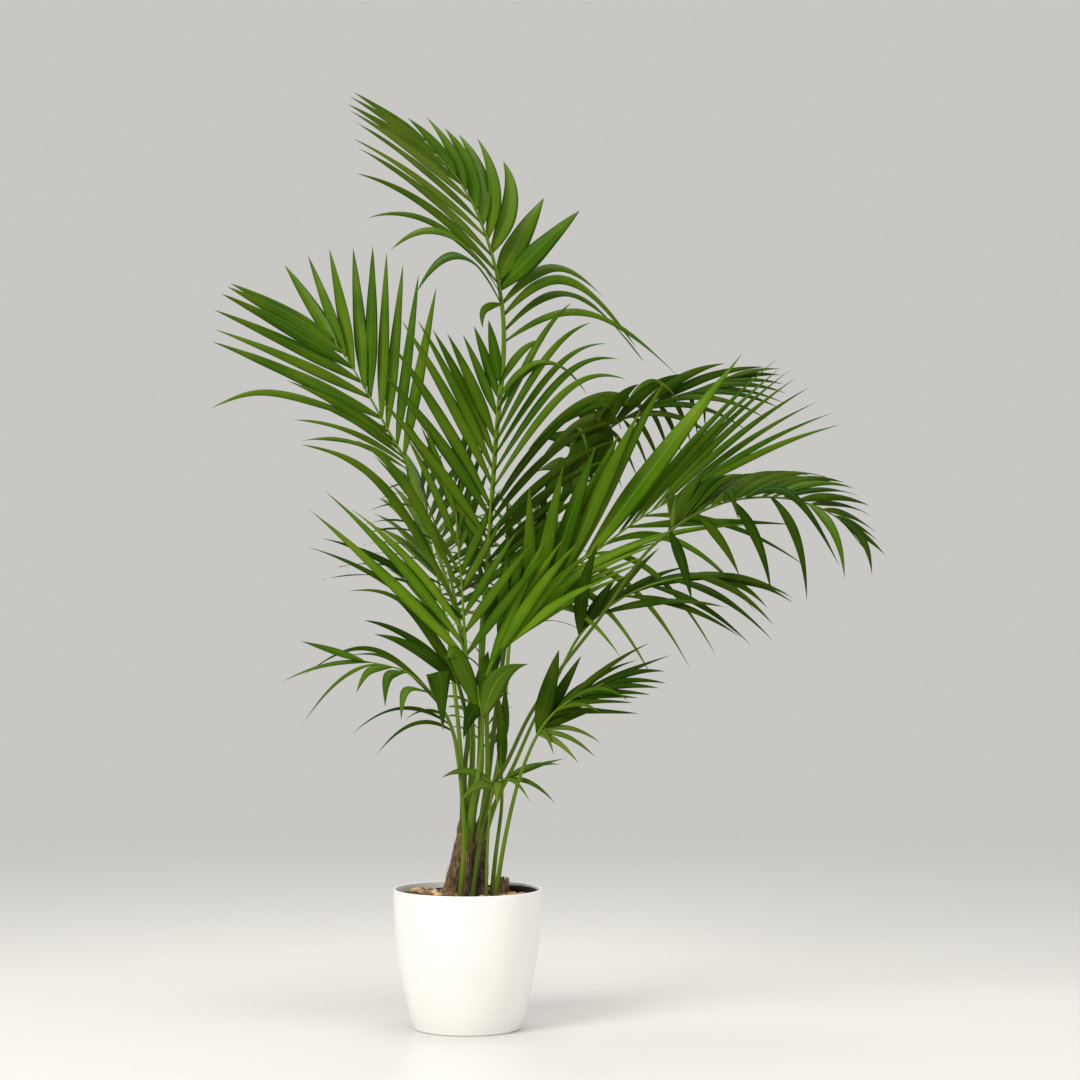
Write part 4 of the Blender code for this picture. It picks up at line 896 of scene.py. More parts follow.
def soil_height(x: float, y: float) -> float:
    """Height of the filling's top at a place."""
    away = np.hypot(x - SOIL_DIP_CENTRE[0], y - SOIL_DIP_CENTRE[1]) / SOIL_DIP_REACH
    heap = SOIL_HEAP * float(np.clip((-x - 0.3 * y - 0.02) / 0.07, 0.0, 1.0))
    slope = SOIL_SLOPE * float(np.clip(y / 0.1, 0.0, 1.0) * np.clip((-x - 0.02) / 0.04, 0.0, 1.0))
    return SOIL_LEVEL + heap - slope - SOIL_DIP * float(np.clip(1.3 - away, 0.0, 1.0))


def leaned(points: np.ndarray) -> np.ndarray:
    """Points of the black pot, shifted and leaning to the left as it stands."""
    moved = points.copy()
    moved[..., 2] += points[..., 0] * INNER_LEAN
    moved[..., 0] += INNER_SHIFT
    return moved


class Surface:
    """Points, faces and map places of one piece while it is being built."""

    def __init__(self) -> None:
        """Start with nothing in it."""
        self.points: list[np.ndarray] = []
        self.faces: list[np.ndarray] = []
        self.places: list[np.ndarray] = []
        self.finish_of: list[np.ndarray] = []
        self.count = 0

    def add_loft(
        self,
        rings: np.ndarray,
        across: np.ndarray,
        along: np.ndarray,
        finishes: np.ndarray | None = None,
        capped: bool = True,
    ) -> None:
        """Add a closed tube through rings.

        Args:
            rings: Points of each ring, rings first.
            across: Map place across, for each corner of a ring and one more.
            along: Map place along, for each ring.
            finishes: Material number of each side of a ring, or none for the first.
            capped: Whether both ends are closed with a fan.
        """
        count, sides = rings.shape[:2]
        base = self.count
        self.points.append(rings.reshape(-1, 3))
        ring = np.arange(count - 1)[:, None] * sides
        here = np.arange(sides)[None, :]
        after = (here + 1) % sides
        quads = np.stack(
            [ring + here, ring + after, ring + sides + after, ring + sides + here], axis=-1
        )
        self.faces.append(quads.reshape(-1, 4) + base)
        low, high = along[:-1], along[1:]
        left, right = across[:-1], across[1:]
        shape = (count - 1, sides)
        corners = [(left, low), (right, low), (right, high), (left, high)]
        places = np.stack(
            [
                np.stack(
                    [np.broadcast_to(u[None, :], shape), np.broadcast_to(v[:, None], shape)],
                    axis=-1,
                )
                for u, v in corners
            ],
            axis=2,
        )
        self.places.append(places.reshape(-1, 4, 2))
        numbers = np.zeros(sides, int) if finishes is None else finishes
        self.finish_of.append(np.tile(numbers, count - 1))
        self.count += count * sides
        if capped:
            self.add_cap(base, sides, (across, float(along[0])), flip=True)
            self.add_cap(base + (count - 1) * sides, sides, (across, float(along[-1])))

    def add_cap(
        self, start: int, sides: int, place: tuple[np.ndarray, float], flip: bool = False
    ) -> None:
        """Close a ring with a fan of four-cornered faces round its middle.

        Args:
            start: Number of the ring's first point.
            sides: Points in the ring.
            place: Map places across the ring, and the place along.
            flip: Whether the fan faces back along the tube.
        """
        ring = np.concatenate(self.points)[start : start + sides]
        middle = self.count
        self.points.append(ring.mean(axis=0)[None, :])
        self.count += 1
        here = start + np.arange(sides)
        after = start + (np.arange(sides) + 1) % sides
        order = [after, here] if flip else [here, after]
        centre = np.full(sides, middle)
        self.faces.append(np.stack([*order, centre, centre], axis=1))
        across, along = place
        flat = np.stack([across[:-1], np.full(sides, along)], axis=1)
        self.places.append(np.repeat(flat[:, None, :], 4, axis=1))
        self.finish_of.append(np.zeros(sides, int))

    def add_faces(self, points: np.ndarray, faces: np.ndarray, scale: float = 1.0) -> None:
        """Add ready faces, mapped by their place seen from above.

        Args:
            points: Points to add.
            faces: Corner numbers of each face, three or four.
            scale: Map places for each metre.
        """
        corners = faces if faces.shape[1] == 4 else np.hstack([faces, faces[:, -1:]])
        self.points.append(points)
        self.faces.append(corners + self.count)
        self.places.append(points[corners][:, :, :2] * scale)
        self.finish_of.append(np.zeros(len(faces), int))
        self.count += len(points)

    def object(self, name: str, finishes: list[bpy.types.Material]) -> bpy.types.Object:
        """Mesh object with what has been added.

        Args:
            name: Name of the piece.
            finishes: Its materials, in the order of their numbers.

        Returns:
            The object, in the scene and smoothly shaded.
        """
        points = np.concatenate(self.points)
        corners = np.concatenate(self.faces)
        places = np.concatenate(self.places)
        numbers = np.concatenate(self.finish_of)
        faces, flat = [], []
        for face, place in zip(corners.tolist(), places.tolist()):
            size = 3 if face[3] == face[2] else 4
            faces.append(face[:size])
            flat.extend(place[:size])
        mesh = bpy.data.meshes.new(name)
        mesh.from_pydata(points.tolist(), [], faces)
        layer = mesh.uv_layers.new(name="places")
        layer.data.foreach_set("uv", np.array(flat, float).reshape(-1))
        mesh.polygons.foreach_set("material_index", numbers)
        mesh.polygons.foreach_set("use_smooth", [True] * len(faces))
        for finish in finishes:
            mesh.materials.append(finish)
        mesh.update()
        made = bpy.data.objects.new(name, mesh)
        bpy.context.scene.collection.objects.link(made)
        return made


def place_piece(
    piece: bpy.types.Object, nodes: list[str] | None = None
) -> bpy.types.Object:
    """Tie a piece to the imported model.

    Args:
        piece: Object to tie.
        nodes: Model nodes that it stands for.

    Returns:
        The same object.
    """
    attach(piece, BODY)
    if nodes:
        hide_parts(*nodes)
    log.info("%s: %d faces", piece.name, len(piece.data.polygons))
    return piece


class Shader:
    """A principled material and the few nodes that the finishes share."""

    def __init__(self, name: str, roughness: float = 0.5) -> None:
        """Start an empty material.

        Args:
            name: Name of the material.
            roughness: Roughness all over it.
        """
        self.material = bpy.data.materials.new(name)
        self.material.use_nodes = True
        self.tree = self.material.node_tree
        self.surface = self.tree.nodes["Principled BSDF"]
        self.surface.inputs["Roughness"].default_value = roughness

    def node(self, kind: str, **settings: object) -> bpy.types.Node:
        """A new node with its settings."""
        made = self.tree.nodes.new(kind)
        for key, value in settings.items():
            setattr(made, key, value)
        return made

    def link(self, out: bpy.types.NodeSocket, into: bpy.types.NodeSocket) -> None:
        """Join an output to an input."""
        self.tree.links.new(out, into)

    def places(self) -> bpy.types.NodeSocket:
        """The piece's own map places."""
        return self.node("ShaderNodeUVMap", uv_map="places").outputs["UV"]

    def solid_places(self) -> bpy.types.NodeSocket:
        """Places in the object's own space."""
        return self.node("ShaderNodeTexCoord").outputs["Object"]

    def stretched(self, vector: bpy.types.NodeSocket, scale: Point) -> bpy.types.NodeSocket:
        """Places scaled by different amounts on each axis."""
        made = self.node("ShaderNodeMapping")
        made.inputs["Scale"].default_value = scale
        self.link(vector, made.inputs["Vector"])
        return made.outputs["Vector"]

    def noise(
        self, vector: bpy.types.NodeSocket, scale: float, detail: float = 3.0
    ) -> bpy.types.NodeSocket:
        """Soft cloudy pattern.

        Args:
            vector: Places to read it at.
            scale: Clouds to the unit.
            detail: Octaves of finer clouds.

        Returns:
            The pattern's value.
        """
        made = self.node("ShaderNodeTexNoise")
        made.inputs["Scale"].default_value = scale
        made.inputs["Detail"].default_value = detail
        self.link(vector, made.inputs["Vector"])
        return made.outputs["Fac"]

    def ramp(
        self, value: bpy.types.NodeSocket, stops: tuple[tuple[float, Colour], ...]
    ) -> bpy.types.NodeSocket:
        """Colour for a value.

        Args:
            value: Value between 0 and 1.
            stops: Places of the ramp and their colours.

        Returns:
            The colour.
        """
        made = self.node("ShaderNodeValToRGB")
        band = made.color_ramp
        while len(band.elements) < len(stops):
            band.elements.new(0.5)
        for element, (place, colour) in zip(band.elements, stops):
            element.position = place
            element.color = (*colour, 1.0)
        self.link(value, made.inputs["Fac"])
        return made.outputs["Color"]

    def mixed(
        self, share: bpy.types.NodeSocket, first: object, second: object
    ) -> bpy.types.NodeSocket:
        """Mix of two colours, each a colour or an output of a node.

        Args:
            share: How much of the second.
            first: Colour where the share is 0.
            second: Colour where the share is 1.

        Returns:
            The mixed colour.
        """
        made = self.node("ShaderNodeMix", data_type="RGBA")
        self.link(share, made.inputs["Factor"])
        for given, socket in ((first, made.inputs["A"]), (second, made.inputs["B"])):
            if isinstance(given, tuple):
                socket.default_value = (*given, 1.0)
            else:
                self.link(given, socket)
        return made.outputs["Result"]

    def spread(
        self, value: bpy.types.NodeSocket, source: Pair, target: Pair = (0.0, 1.0)
    ) -> bpy.types.NodeSocket:
        """Value moved from one range to another, and kept within it."""
        made = self.node("ShaderNodeMapRange")
        made.inputs["From Min"].default_value = source[0]
        made.inputs["From Max"].default_value = source[1]
        made.inputs["To Min"].default_value = target[0]
        made.inputs["To Max"].default_value = target[1]
        self.link(value, made.inputs["Value"])
        return made.outputs["Result"]

    def worked(
        self, operation: str, value: bpy.types.NodeSocket, other: bpy.types.NodeSocket | float = 0.0
    ) -> bpy.types.NodeSocket:
        """Value put through one step of arithmetic."""
        made = self.node("ShaderNodeMath", operation=operation)
        self.link(value, made.inputs[0])
        if isinstance(other, float):
            made.inputs[1].default_value = other
        else:
            self.link(other, made.inputs[1])
        return made.outputs[0]

    def part_of(self, vector: bpy.types.NodeSocket, axis: str) -> bpy.types.NodeSocket:
        """One axis of a place."""
        made = self.node("ShaderNodeSeparateXYZ")
        self.link(vector, made.inputs["Vector"])
        return made.outputs[axis]

    def relief(self, height: bpy.types.NodeSocket, depth: float, strength: float) -> None:
        """Fine relief of the surface.

        Args:
            height: Height pattern between 0 and 1.
            depth: Real height of the relief.
            strength: Share of it that shows.
        """
        made = self.node("ShaderNodeBump")
        made.inputs["Distance"].default_value = depth
        made.inputs["Strength"].default_value = strength
        self.link(height, made.inputs["Height"])
        self.link(made.outputs["Normal"], self.surface.inputs["Normal"])

    def colour(self, colour: bpy.types.NodeSocket) -> None:
        """Colour the surface."""
        self.link(colour, self.surface.inputs["Base Color"])


@dataclass(frozen=True)
class LeafFinish:
    """Glossy leaflet with fine veins, a paler midrib and a dry tip, each in a green of its own.

    Args:
        name: Name of the material.
        deep: Darker green of its clouds.
        fresh: Lighter green of its clouds.
        midrib: Colour of the line along the middle.
        roughness: Roughness of the blade.
    """

    name: str
    deep: Colour
    fresh: Colour
    midrib: Colour
    roughness: float = 0.34
    dry: Colour = (0.20, 0.12, 0.035)
    veins: float = 46.0
    midrib_half: float = 0.022
    tip_from: float = 0.955
    own_green: Pair = (-0.16, 0.16)
    shine: float = 0.05

    def material(self) -> bpy.types.Material:
        """Build the material."""
        shader = Shader(self.name, self.roughness)
        places = shader.places()
        numbered = shader.part_of(places, "X")
        across = shader.worked("FRACT", numbered)
        own = shader.node("ShaderNodeTexWhiteNoise", noise_dimensions="1D")
        shader.link(shader.worked("FLOOR", numbered), own.inputs["W"])
        clouds = shader.noise(shader.solid_places(), 9.0)
        share = shader.worked("ADD", clouds, shader.spread(own.outputs["Value"], (0, 1), self.own_green))
        green = shader.mixed(shader.spread(share, (0.35, 0.65)), self.deep, self.fresh)
        streaks = shader.noise(shader.stretched(places, (self.veins, 1.6, 1.0)), 1.0, 2.0)
        streaked = shader.mixed(shader.spread(streaks, (0.42, 0.75), (0.0, 0.45)), green, self.fresh)
        off_middle = shader.worked("ABSOLUTE", shader.worked("SUBTRACT", across, 0.5))
        line = shader.spread(
            off_middle, (self.midrib_half * 0.4, self.midrib_half * 1.4), (0.6, 0.0)
        )
        ribbed = shader.mixed(line, streaked, self.midrib)
        end = shader.spread(shader.part_of(places, "Y"), (self.tip_from, 1.0), (0.0, 0.85))
        shader.colour(shader.mixed(end, ribbed, self.dry))
        shader.relief(streaks, 0.0004, 0.35)
        shader.surface.inputs["Specular IOR Level"].default_value = self.shine
        return shader.material


@dataclass(frozen=True)
class StalkFinish:
    """Smooth green stalk, brown and fibrous at its foot.

    Args:
        name: Name of the material.
        deep: Darker green of its streaks.
        fresh: Lighter green of its streaks.
        foot: Colour at the root.
        foot_height: Distance over which the foot's colour fades.
    """

    name: str
    deep: Colour
    fresh: Colour
    foot: Colour
    foot_height: float = 0.05
    roughness: float = 0.4

    def material(self) -> bpy.types.Material:
        """Build the material."""
        shader = Shader(self.name, self.roughness)
        places = shader.places()
        streaks = shader.noise(shader.stretched(places, (14.0, 9.0, 1.0)), 1.0, 3.0)
        green = shader.mixed(shader.spread(streaks, (0.35, 0.7)), self.deep, self.fresh)
        low = shader.spread(shader.part_of(places, "Y"), (0.0, self.foot_height), (1.0, 0.0))
        shader.colour(shader.mixed(low, green, self.foot))
        shader.relief(streaks, 0.0006, 0.3)
        shader.surface.inputs["Specular IOR Level"].default_value = 0.12
        return shader.material


@dataclass(frozen=True)
class BarkFinish:
    """Dry fibrous trunk with long streaks."""

    name: str
    dark: Colour
    middle: Colour
    pale: Colour
    roughness: float = 0.85

    def material(self) -> bpy.types.Material:
        """Build the material."""
        shader = Shader(self.name, self.roughness)
        long = shader.stretched(shader.solid_places(), (1.0, 1.0, 0.12))
        fibres = shader.noise(long, 420.0, 4.0)
        patches = shader.noise(shader.solid_places(), 60.0, 3.0)
        tint = shader.ramp(fibres, ((0.3, self.dark), (0.5, self.middle), (0.72, self.pale)))
        worn = shader.mixed(shader.spread(patches, (0.5, 0.7), (0.0, 0.7)), tint, self.dark)
        shader.colour(worn)
        shader.relief(fibres, 0.0015, 0.8)
        return shader.material


@dataclass(frozen=True)
class PlasticFinish:
    """Moulded plastic with a faint grain."""

    name: str
    colour: Colour
    worn: Colour
    roughness: float
    shine: float = 0.5
    grain: float = 900.0

    def material(self) -> bpy.types.Material:
        """Build the material."""
        shader = Shader(self.name, self.roughness)
        clouds = shader.noise(shader.solid_places(), 14.0, 4.0)
        shader.colour(shader.mixed(shader.spread(clouds, (0.4, 0.75)), self.colour, self.worn))
        shader.relief(shader.noise(shader.solid_places(), self.grain, 2.0), 0.0001, 0.12)
        shader.surface.inputs["Specular IOR Level"].default_value = self.shine
        return shader.material


@dataclass(frozen=True)
class EarthFinish:
    """Dark moist potting mix, or a stone with the same crumbly grain."""

    name: str
    dark: Colour
    pale: Colour
    grain: float = 260.0
    roughness: float = 0.9
    relief: float = 0.0015

    def material(self) -> bpy.types.Material:
        """Build the material."""
        shader = Shader(self.name, self.roughness)
        grains = shader.noise(shader.solid_places(), self.grain, 5.0)
        shader.colour(shader.ramp(grains, ((0.38, self.dark), (0.68, self.pale))))
        shader.relief(grains, self.relief, 0.7)
        return shader.material


@dataclass(frozen=True)
class FloorFinish:
    """Plain pale floor with a soft sheen that fades out away from the pot."""

    name: str = "studio_floor"
    colour: Colour = (0.70, 0.69, 0.67)
    roughness: float = 0.32
    fade: Pair = (1.2, 4.0)

    def material(self) -> bpy.types.Material:
        """Build the material."""
        shader = Shader(self.name, self.roughness)
        shader.surface.inputs["Base Color"].default_value = (*self.colour, 1.0)
        distance = shader.node("ShaderNodeVectorMath", operation="LENGTH")
        shader.link(shader.solid_places(), distance.inputs[0])
        solid = shader.spread(distance.outputs["Value"], self.fade, (1.0, 0.0))
        shader.link(solid, shader.surface.inputs["Alpha"])
        return shader.material


@dataclass
class WhitePot:
    """Round white pot with a rounded foot, a swelling side and a thin rim.

    Args:
        profile: Outer radius against height, from the foot to the rim.
        wall: Thickness of the side.
        floor: Thickness of the bottom.
        sides: Facets round it.
    """

    profile: tuple[Pair, ...] = (
        (0.0970, 0.0000),
        (0.1020, 0.0040),
        (0.1110, 0.0320),
        (0.1230, 0.0820),
        (0.1340, 0.1450),
        (0.1395, 0.2100),
        (0.1410, 0.2655),
    )
    wall: float = 0.0035
    floor: float = 0.006
    sides: int = 160
    finish: PlasticFinish = PlasticFinish(
        "white_pot", (0.86, 0.85, 0.82), (0.83, 0.82, 0.79), 0.30
    )

    def section(self) -> np.ndarray:
        """Half section as radius and height, from the middle of the foot round to the floor."""
        side = curve_through([(r, 0.0, z) for r, z in self.profile[1:]], 10)[:, [0, 2]]
        foot_radius = self.profile[0][0]
        turn = np.linspace(0.0, pi / 2, 8)[:-1]
        step = self.profile[1][0] - foot_radius
        foot = np.stack(
            [foot_radius + step * np.sin(turn), self.profile[1][1] * (1 - np.cos(turn))], axis=1
        )
        outer = np.vstack([foot, side])
        rim_radius, rim_height = self.profile[-1]
        arc = np.linspace(0.0, pi, 9)[1:-1]
        half = self.wall / 2
        rim = np.stack(
            [rim_radius - half + half * np.cos(arc), rim_height + half * 0.6 * np.sin(arc)], axis=1
        )
        inner = (side - np.array([self.wall, 0.0]))[::-1]
        inner = inner[inner[:, 1] > 0.02]
        base = np.array([(inner[-1][0] - 0.004, self.floor), (0.001, self.floor)])
        return np.vstack([[(0.001, 0.0)], outer, rim, inner, base])

    def build(self) -> bpy.types.Object:
        """Turn the section round the middle."""
        section = self.section()
        turn = np.arange(self.sides) * 2 * pi / self.sides
        rings = np.stack(
            [
                np.stack([r * np.cos(turn), r * np.sin(turn), np.full(self.sides, z)], axis=1)
                for r, z in section
            ]
        )
        surface = Surface()
        across = np.linspace(0.0, 1.0, self.sides + 1)
        along = np.linspace(0.0, 1.0, len(section))
        surface.add_loft(rings[:, ::-1], across, along)
        pot = surface.object("white_pot", [self.finish.material()])
        return place_piece(pot, ["pot"])


@dataclass
class NurseryPot:
    """Black pot inside the white one, with a rolled rim.

    Args:
        rim_height: Height of the rim.
        rim_radius: Radius of the rim.
        foot: Height of the foot.
        foot_radius: Radius of the foot.
        wall: Thickness of the side.
    """

    rim_height: float = 0.2580
    rim_radius: float = 0.1290
    foot: float = 0.0400
    foot_radius: float = 0.0960
    wall: float = 0.0025
    sides: int = 128
    finish: PlasticFinish = PlasticFinish(
        "black_pot", (0.007, 0.007, 0.006), (0.014, 0.013, 0.011), 0.5, 0.15
    )

    def build(self) -> bpy.types.Object:
        """Turn the side, the rolled rim and the inside round the middle."""
        arc = np.linspace(-pi / 2, pi, 10)
        roll = self.wall * 0.7
        rim = [
            (self.rim_radius - roll + roll * cos(a), self.rim_height - roll + roll * sin(a))
            for a in arc
        ]
        section = [
            (0.001, self.foot),
            (self.foot_radius, self.foot),
            (self.rim_radius - self.wall, self.rim_height - 0.012),
            *rim,
            (self.rim_radius - 2 * self.wall, self.rim_height - 0.012),
            (self.foot_radius - self.wall, self.foot + self.wall),
            (0.001, self.foot + self.wall),
        ]
        turn = -np.arange(self.sides) * 2 * pi / self.sides
        rings = np.stack(
            [
                np.stack([r * np.cos(turn), r * np.sin(turn), np.full(self.sides, z)], axis=1)
                for r, z in section
            ]
        )
        surface = Surface()
        surface.add_loft(
            leaned(rings), np.linspace(0.0, 1.0, self.sides + 1), np.linspace(0.0, 1.0, len(section))
        )
        pot = surface.object("black_pot", [self.finish.material()])
        return place_piece(pot, ["nursery_pot"])


@dataclass
class Filling:
    """Crumbly potting mix with pebbles and bark lying on it.

    Args:
        radius: Reach of the top.
        low: Height of its underside.
        rings: Rings of the top from the rim to the middle.
        sides: Facets round it.
        pebbles: Number of pebbles.
        seed: Start of the chances in their places.
    """

    radius: float = 0.1250
    low: float = 0.0430
    low_radius: float = 0.0930
    rings: int = 60
    sides: int = 160
    pebbles: int = 84
    crumbs: int = 260
    seed: int = 5
    finish: EarthFinish = EarthFinish("potting_mix", (0.016, 0.009, 0.005), (0.110, 0.068, 0.040))
    stones: tuple[EarthFinish, ...] = (
        EarthFinish("tan_pebbles", (0.22, 0.13, 0.055), (0.50, 0.34, 0.17), 90.0, 0.6, 0.0004),
        EarthFinish("brown_pebbles", (0.08, 0.045, 0.02), (0.22, 0.13, 0.065), 120.0, 0.65, 0.0004),
        EarthFinish("yellow_pebbles", (0.40, 0.24, 0.06), (0.66, 0.48, 0.19), 80.0, 0.55, 0.0004),
    )
    crumb_finish: EarthFinish = EarthFinish(
        "bark_crumbs", (0.030, 0.016, 0.008), (0.16, 0.09, 0.045), 300.0
    )

    def build_mix(self) -> bpy.types.Object:
        """Top with clods, and the side down to the foot of the black pot."""
        turn = np.arange(self.sides) * 2 * pi / self.sides
        reaches = np.concatenate(
            [[0.0005], self.low_radius * np.linspace(0.2, 1.0, 4)]
        )
        rings = [
            np.stack(
                [r * np.cos(turn), -r * np.sin(turn), np.full(self.sides, self.low)], axis=1
            )
            for r in reaches
        ]
        rings = [leaned(ring) for ring in rings]
        for share in np.linspace(1.0, 0.004, self.rings):
            reach = self.radius * share
            ring = []
            for angle in turn:
                x, y = INNER_SHIFT + reach * cos(angle), -reach * sin(angle)
                clod = noise.fractal(Vector((x * 90, y * 90, 0.0)), 0.9, 2.1, 4) * 0.0022
                edge = min(1.0, (1.0 - share) * 14)
                ring.append((x, y, soil_height(x, y) + clod * edge - 0.001))
            rings.append(np.array(ring))
        surface = Surface()
        rings = np.stack(rings)
        surface.add_loft(
            rings, np.linspace(0.0, 1.0, self.sides + 1), np.linspace(0.0, 1.0, len(rings))
        )
        return place_piece(
            surface.object("potting_mix", [self.finish.material()]), ["soil"]
        )

    def lump(self, centre: Point, size: Point, chance: np.random.Generator) -> np.ndarray:
        """Points of one uneven rounded lump.

        Args:
            centre: Its middle.
            size: Half its length, width and height.
            chance: Source of its small chances.

        Returns:
            Points in the order of the shared ball.
        """
        shift = Vector(chance.uniform(-50, 50, 3))
        points = []
        for corner in self.ball[0]:
            bulge = 1 + 0.35 * noise.noise(Vector(corner) * 1.1 + shift)
            points.append(corner * bulge * size)
        points = np.array(points)
        turn = chance.uniform(0, 2 * pi)
        flat = points.copy()
        flat[:, 0] = points[:, 0] * cos(turn) - points[:, 1] * sin(turn)
        flat[:, 1] = points[:, 0] * sin(turn) + points[:, 1] * cos(turn)
        return flat + np.array(centre)

    @property
    def ball(self) -> tuple[np.ndarray, np.ndarray]:
        """Points and faces of a round ball."""
        if not hasattr(self, "_ball"):
            shape = bmesh.new()
            bmesh.ops.create_icosphere(shape, subdivisions=2, radius=1.0)
            points = np.array([tuple(v.co) for v in shape.verts])
            faces = np.array([[v.index for v in face.verts] for face in shape.faces])
            shape.free()
            self._ball = (points, faces)
        return self._ball

    def build_stones(self) -> list[bpy.types.Object]:
        """Pebbles in three colours, thickest along the rim."""
        chance = np.random.default_rng(self.seed)
        piles = [Surface() for _ in self.stones]
        for index in range(self.pebbles):
            turn = chance.uniform(0, 2 * pi)
            reach = self.radius * (0.40 + 0.61 * sqrt(chance.uniform(0, 1)))
            size = chance.uniform(0.0045, 0.0115)
            x, y = INNER_SHIFT + (reach - size) * cos(turn), (reach - size) * sin(turn)
            height = soil_height(x, y) + size * 0.25
            box = (size, size * chance.uniform(0.6, 0.95), size * chance.uniform(0.45, 0.7))
            piles[index % len(piles)].add_faces(
                self.lump((x, y, height), box, chance), self.ball[1], 40.0
            )
        return [
            place_piece(pile.object(stone.name, [stone.material()]))
            for pile, stone in zip(piles, self.stones)
        ]

    def build_crumbs(self) -> bpy.types.Object:
        """Small bits of bark strewn over the mix."""
        chance = np.random.default_rng(self.seed + 1)
        pile = Surface()
        for _ in range(self.crumbs):
            turn = chance.uniform(0, 2 * pi)
            reach = self.radius * 0.96 * sqrt(chance.uniform(0, 1))
            size = chance.uniform(0.0015, 0.0045)
            x, y = INNER_SHIFT + (reach - size) * cos(turn), (reach - size) * sin(turn)
            box = (size * 1.5, size * 0.7, size * 0.4)
            centre = (x, y, soil_height(x, y) + 0.0005)
            pile.add_faces(self.lump(centre, box, chance), self.ball[1], 40.0)
        return place_piece(
            pile.object(self.crumb_finish.name, [self.crumb_finish.material()])
        )

    def build(self) -> None:
        """Mix, pebbles and crumbs."""
        self.build_mix()
        self.build_stones()
        self.build_crumbs()


@dataclass
class Trunk:
    """Short fibrous trunk with old leaf scars.

    Args:
        name: Name of the model's node.
        shape: Foot, top, radii and height.
        finish: Bark finish.
        seed: Start of the chances in its bark.
        torn: Depth of the tears in its top.
    """

    name: str
    shape: TrunkShape
    finish: BarkFinish
    seed: int
    sides: int = 72
    rings: int = 90
    fibres: int = 46
    torn: float = 0.0

    def axis(self, share: float) -> np.ndarray:
        """Point of the middle line at a share of the height."""
        x = between((self.shape.foot[0], self.shape.top[0]), share)
        y = between((self.shape.foot[1], self.shape.top[1]), share)
        return np.array([x, y, SOIL_LEVEL + self.shape.height * share])

    def radius(self, share: float, angle: float) -> float:
        """Radius with ridges, scars and a flared foot."""
        plain = between((self.shape.foot_radius, self.shape.top_radius), share)
        flare = 0.004 * max(0.0, 1 - share / 0.2) ** 2
        place = Vector((cos(angle) * 2.2, sin(angle) * 2.2, share * 1.3 + self.seed * 7))
        ridge = noise.fractal(place * 2.0, 0.8, 2.2, 4)
        strand = noise.noise(Vector((angle * 9.0, share * 1.6, self.seed)))
        scar = max(0.0, sin(share * 2 * pi * 3.2 + angle * 0.4)) ** 8
        return plain * (0.97 + 0.085 * ridge + 0.05 * strand + 0.035 * scar) + flare

    def build_body(self) -> bpy.types.Object:
        """The trunk itself."""
        turn = np.arange(self.sides) * 2 * pi / self.sides
        rings = []
        for share in np.linspace(-0.03, 1.0, self.rings):
            middle = self.axis(share)
            close = 1.0 if share < 0.94 else sqrt(max(0.02, 1 - ((share - 0.94) / 0.06) ** 2))
            tear = self.torn * max(0.0, (share - 0.7) / 0.3)
            ring = [
                middle
                + np.array([cos(a), sin(a), 0.0]) * self.radius(max(share, 0.0), a) * close
                - np.array([0.0, 0.0, tear * (0.5 + noise.noise(Vector((cos(a), sin(a), 3.7)) * 1.6))])
                for a in turn
            ]
            rings.append(ring)
        surface = Surface()
        surface.add_loft(
            np.array(rings),
            np.linspace(0.0, 1.0, self.sides + 1),
            np.linspace(0.0, self.shape.height, self.rings),
        )
        made = surface.object(f"bark_{self.name}", [self.finish.material()])
        return place_piece(made, [self.name])

    def build_fibres(self) -> bpy.types.Object:
        """Torn strands that stand off the bark."""
        chance = np.random.default_rng(self.seed)
        surface = Surface()
        for _ in range(self.fibres):
            angle = chance.uniform(0, 2 * pi)
            low = chance.uniform(0.05, 0.75)
            high = min(1.04, low + chance.uniform(0.2, 0.45))
            lean = chance.uniform(-0.5, 0.5)
            lift = chance.uniform(0.0008, 0.005)
            line = []
            for share in np.linspace(low, high, 9):
                here = (share - low) / (high - low)
                out = angle + lean * here
                reach = self.radius(share, out) + 0.0002 + lift * here**1.5
                line.append(self.axis(share) + np.array([cos(out), sin(out), 0.0]) * reach)
            line = np.array(line)
            side, up = carried_sides(tangents_of(line), (cos(angle), sin(angle), 0.1))
            half = chance.uniform(0.0005, 0.0013)
            taper = np.linspace(1.0, 0.15, len(line))[:, None]
            rings = np.stack(
                [
                    line - side * half * taper,
                    line + up * 0.0003,
                    line + side * half * taper,
                    line - up * 0.0003,
                ],
                axis=1,
            )
            surface.add_loft(rings, np.linspace(0, 1, 5), np.linspace(0, 0.05, len(line)))
        made = surface.object(f"fibres_{self.name}", [self.finish.material()])
        return place_piece(made)

    def build(self) -> None:
        """Trunk and strands."""
        self.build_body()
        self.build_fibres()


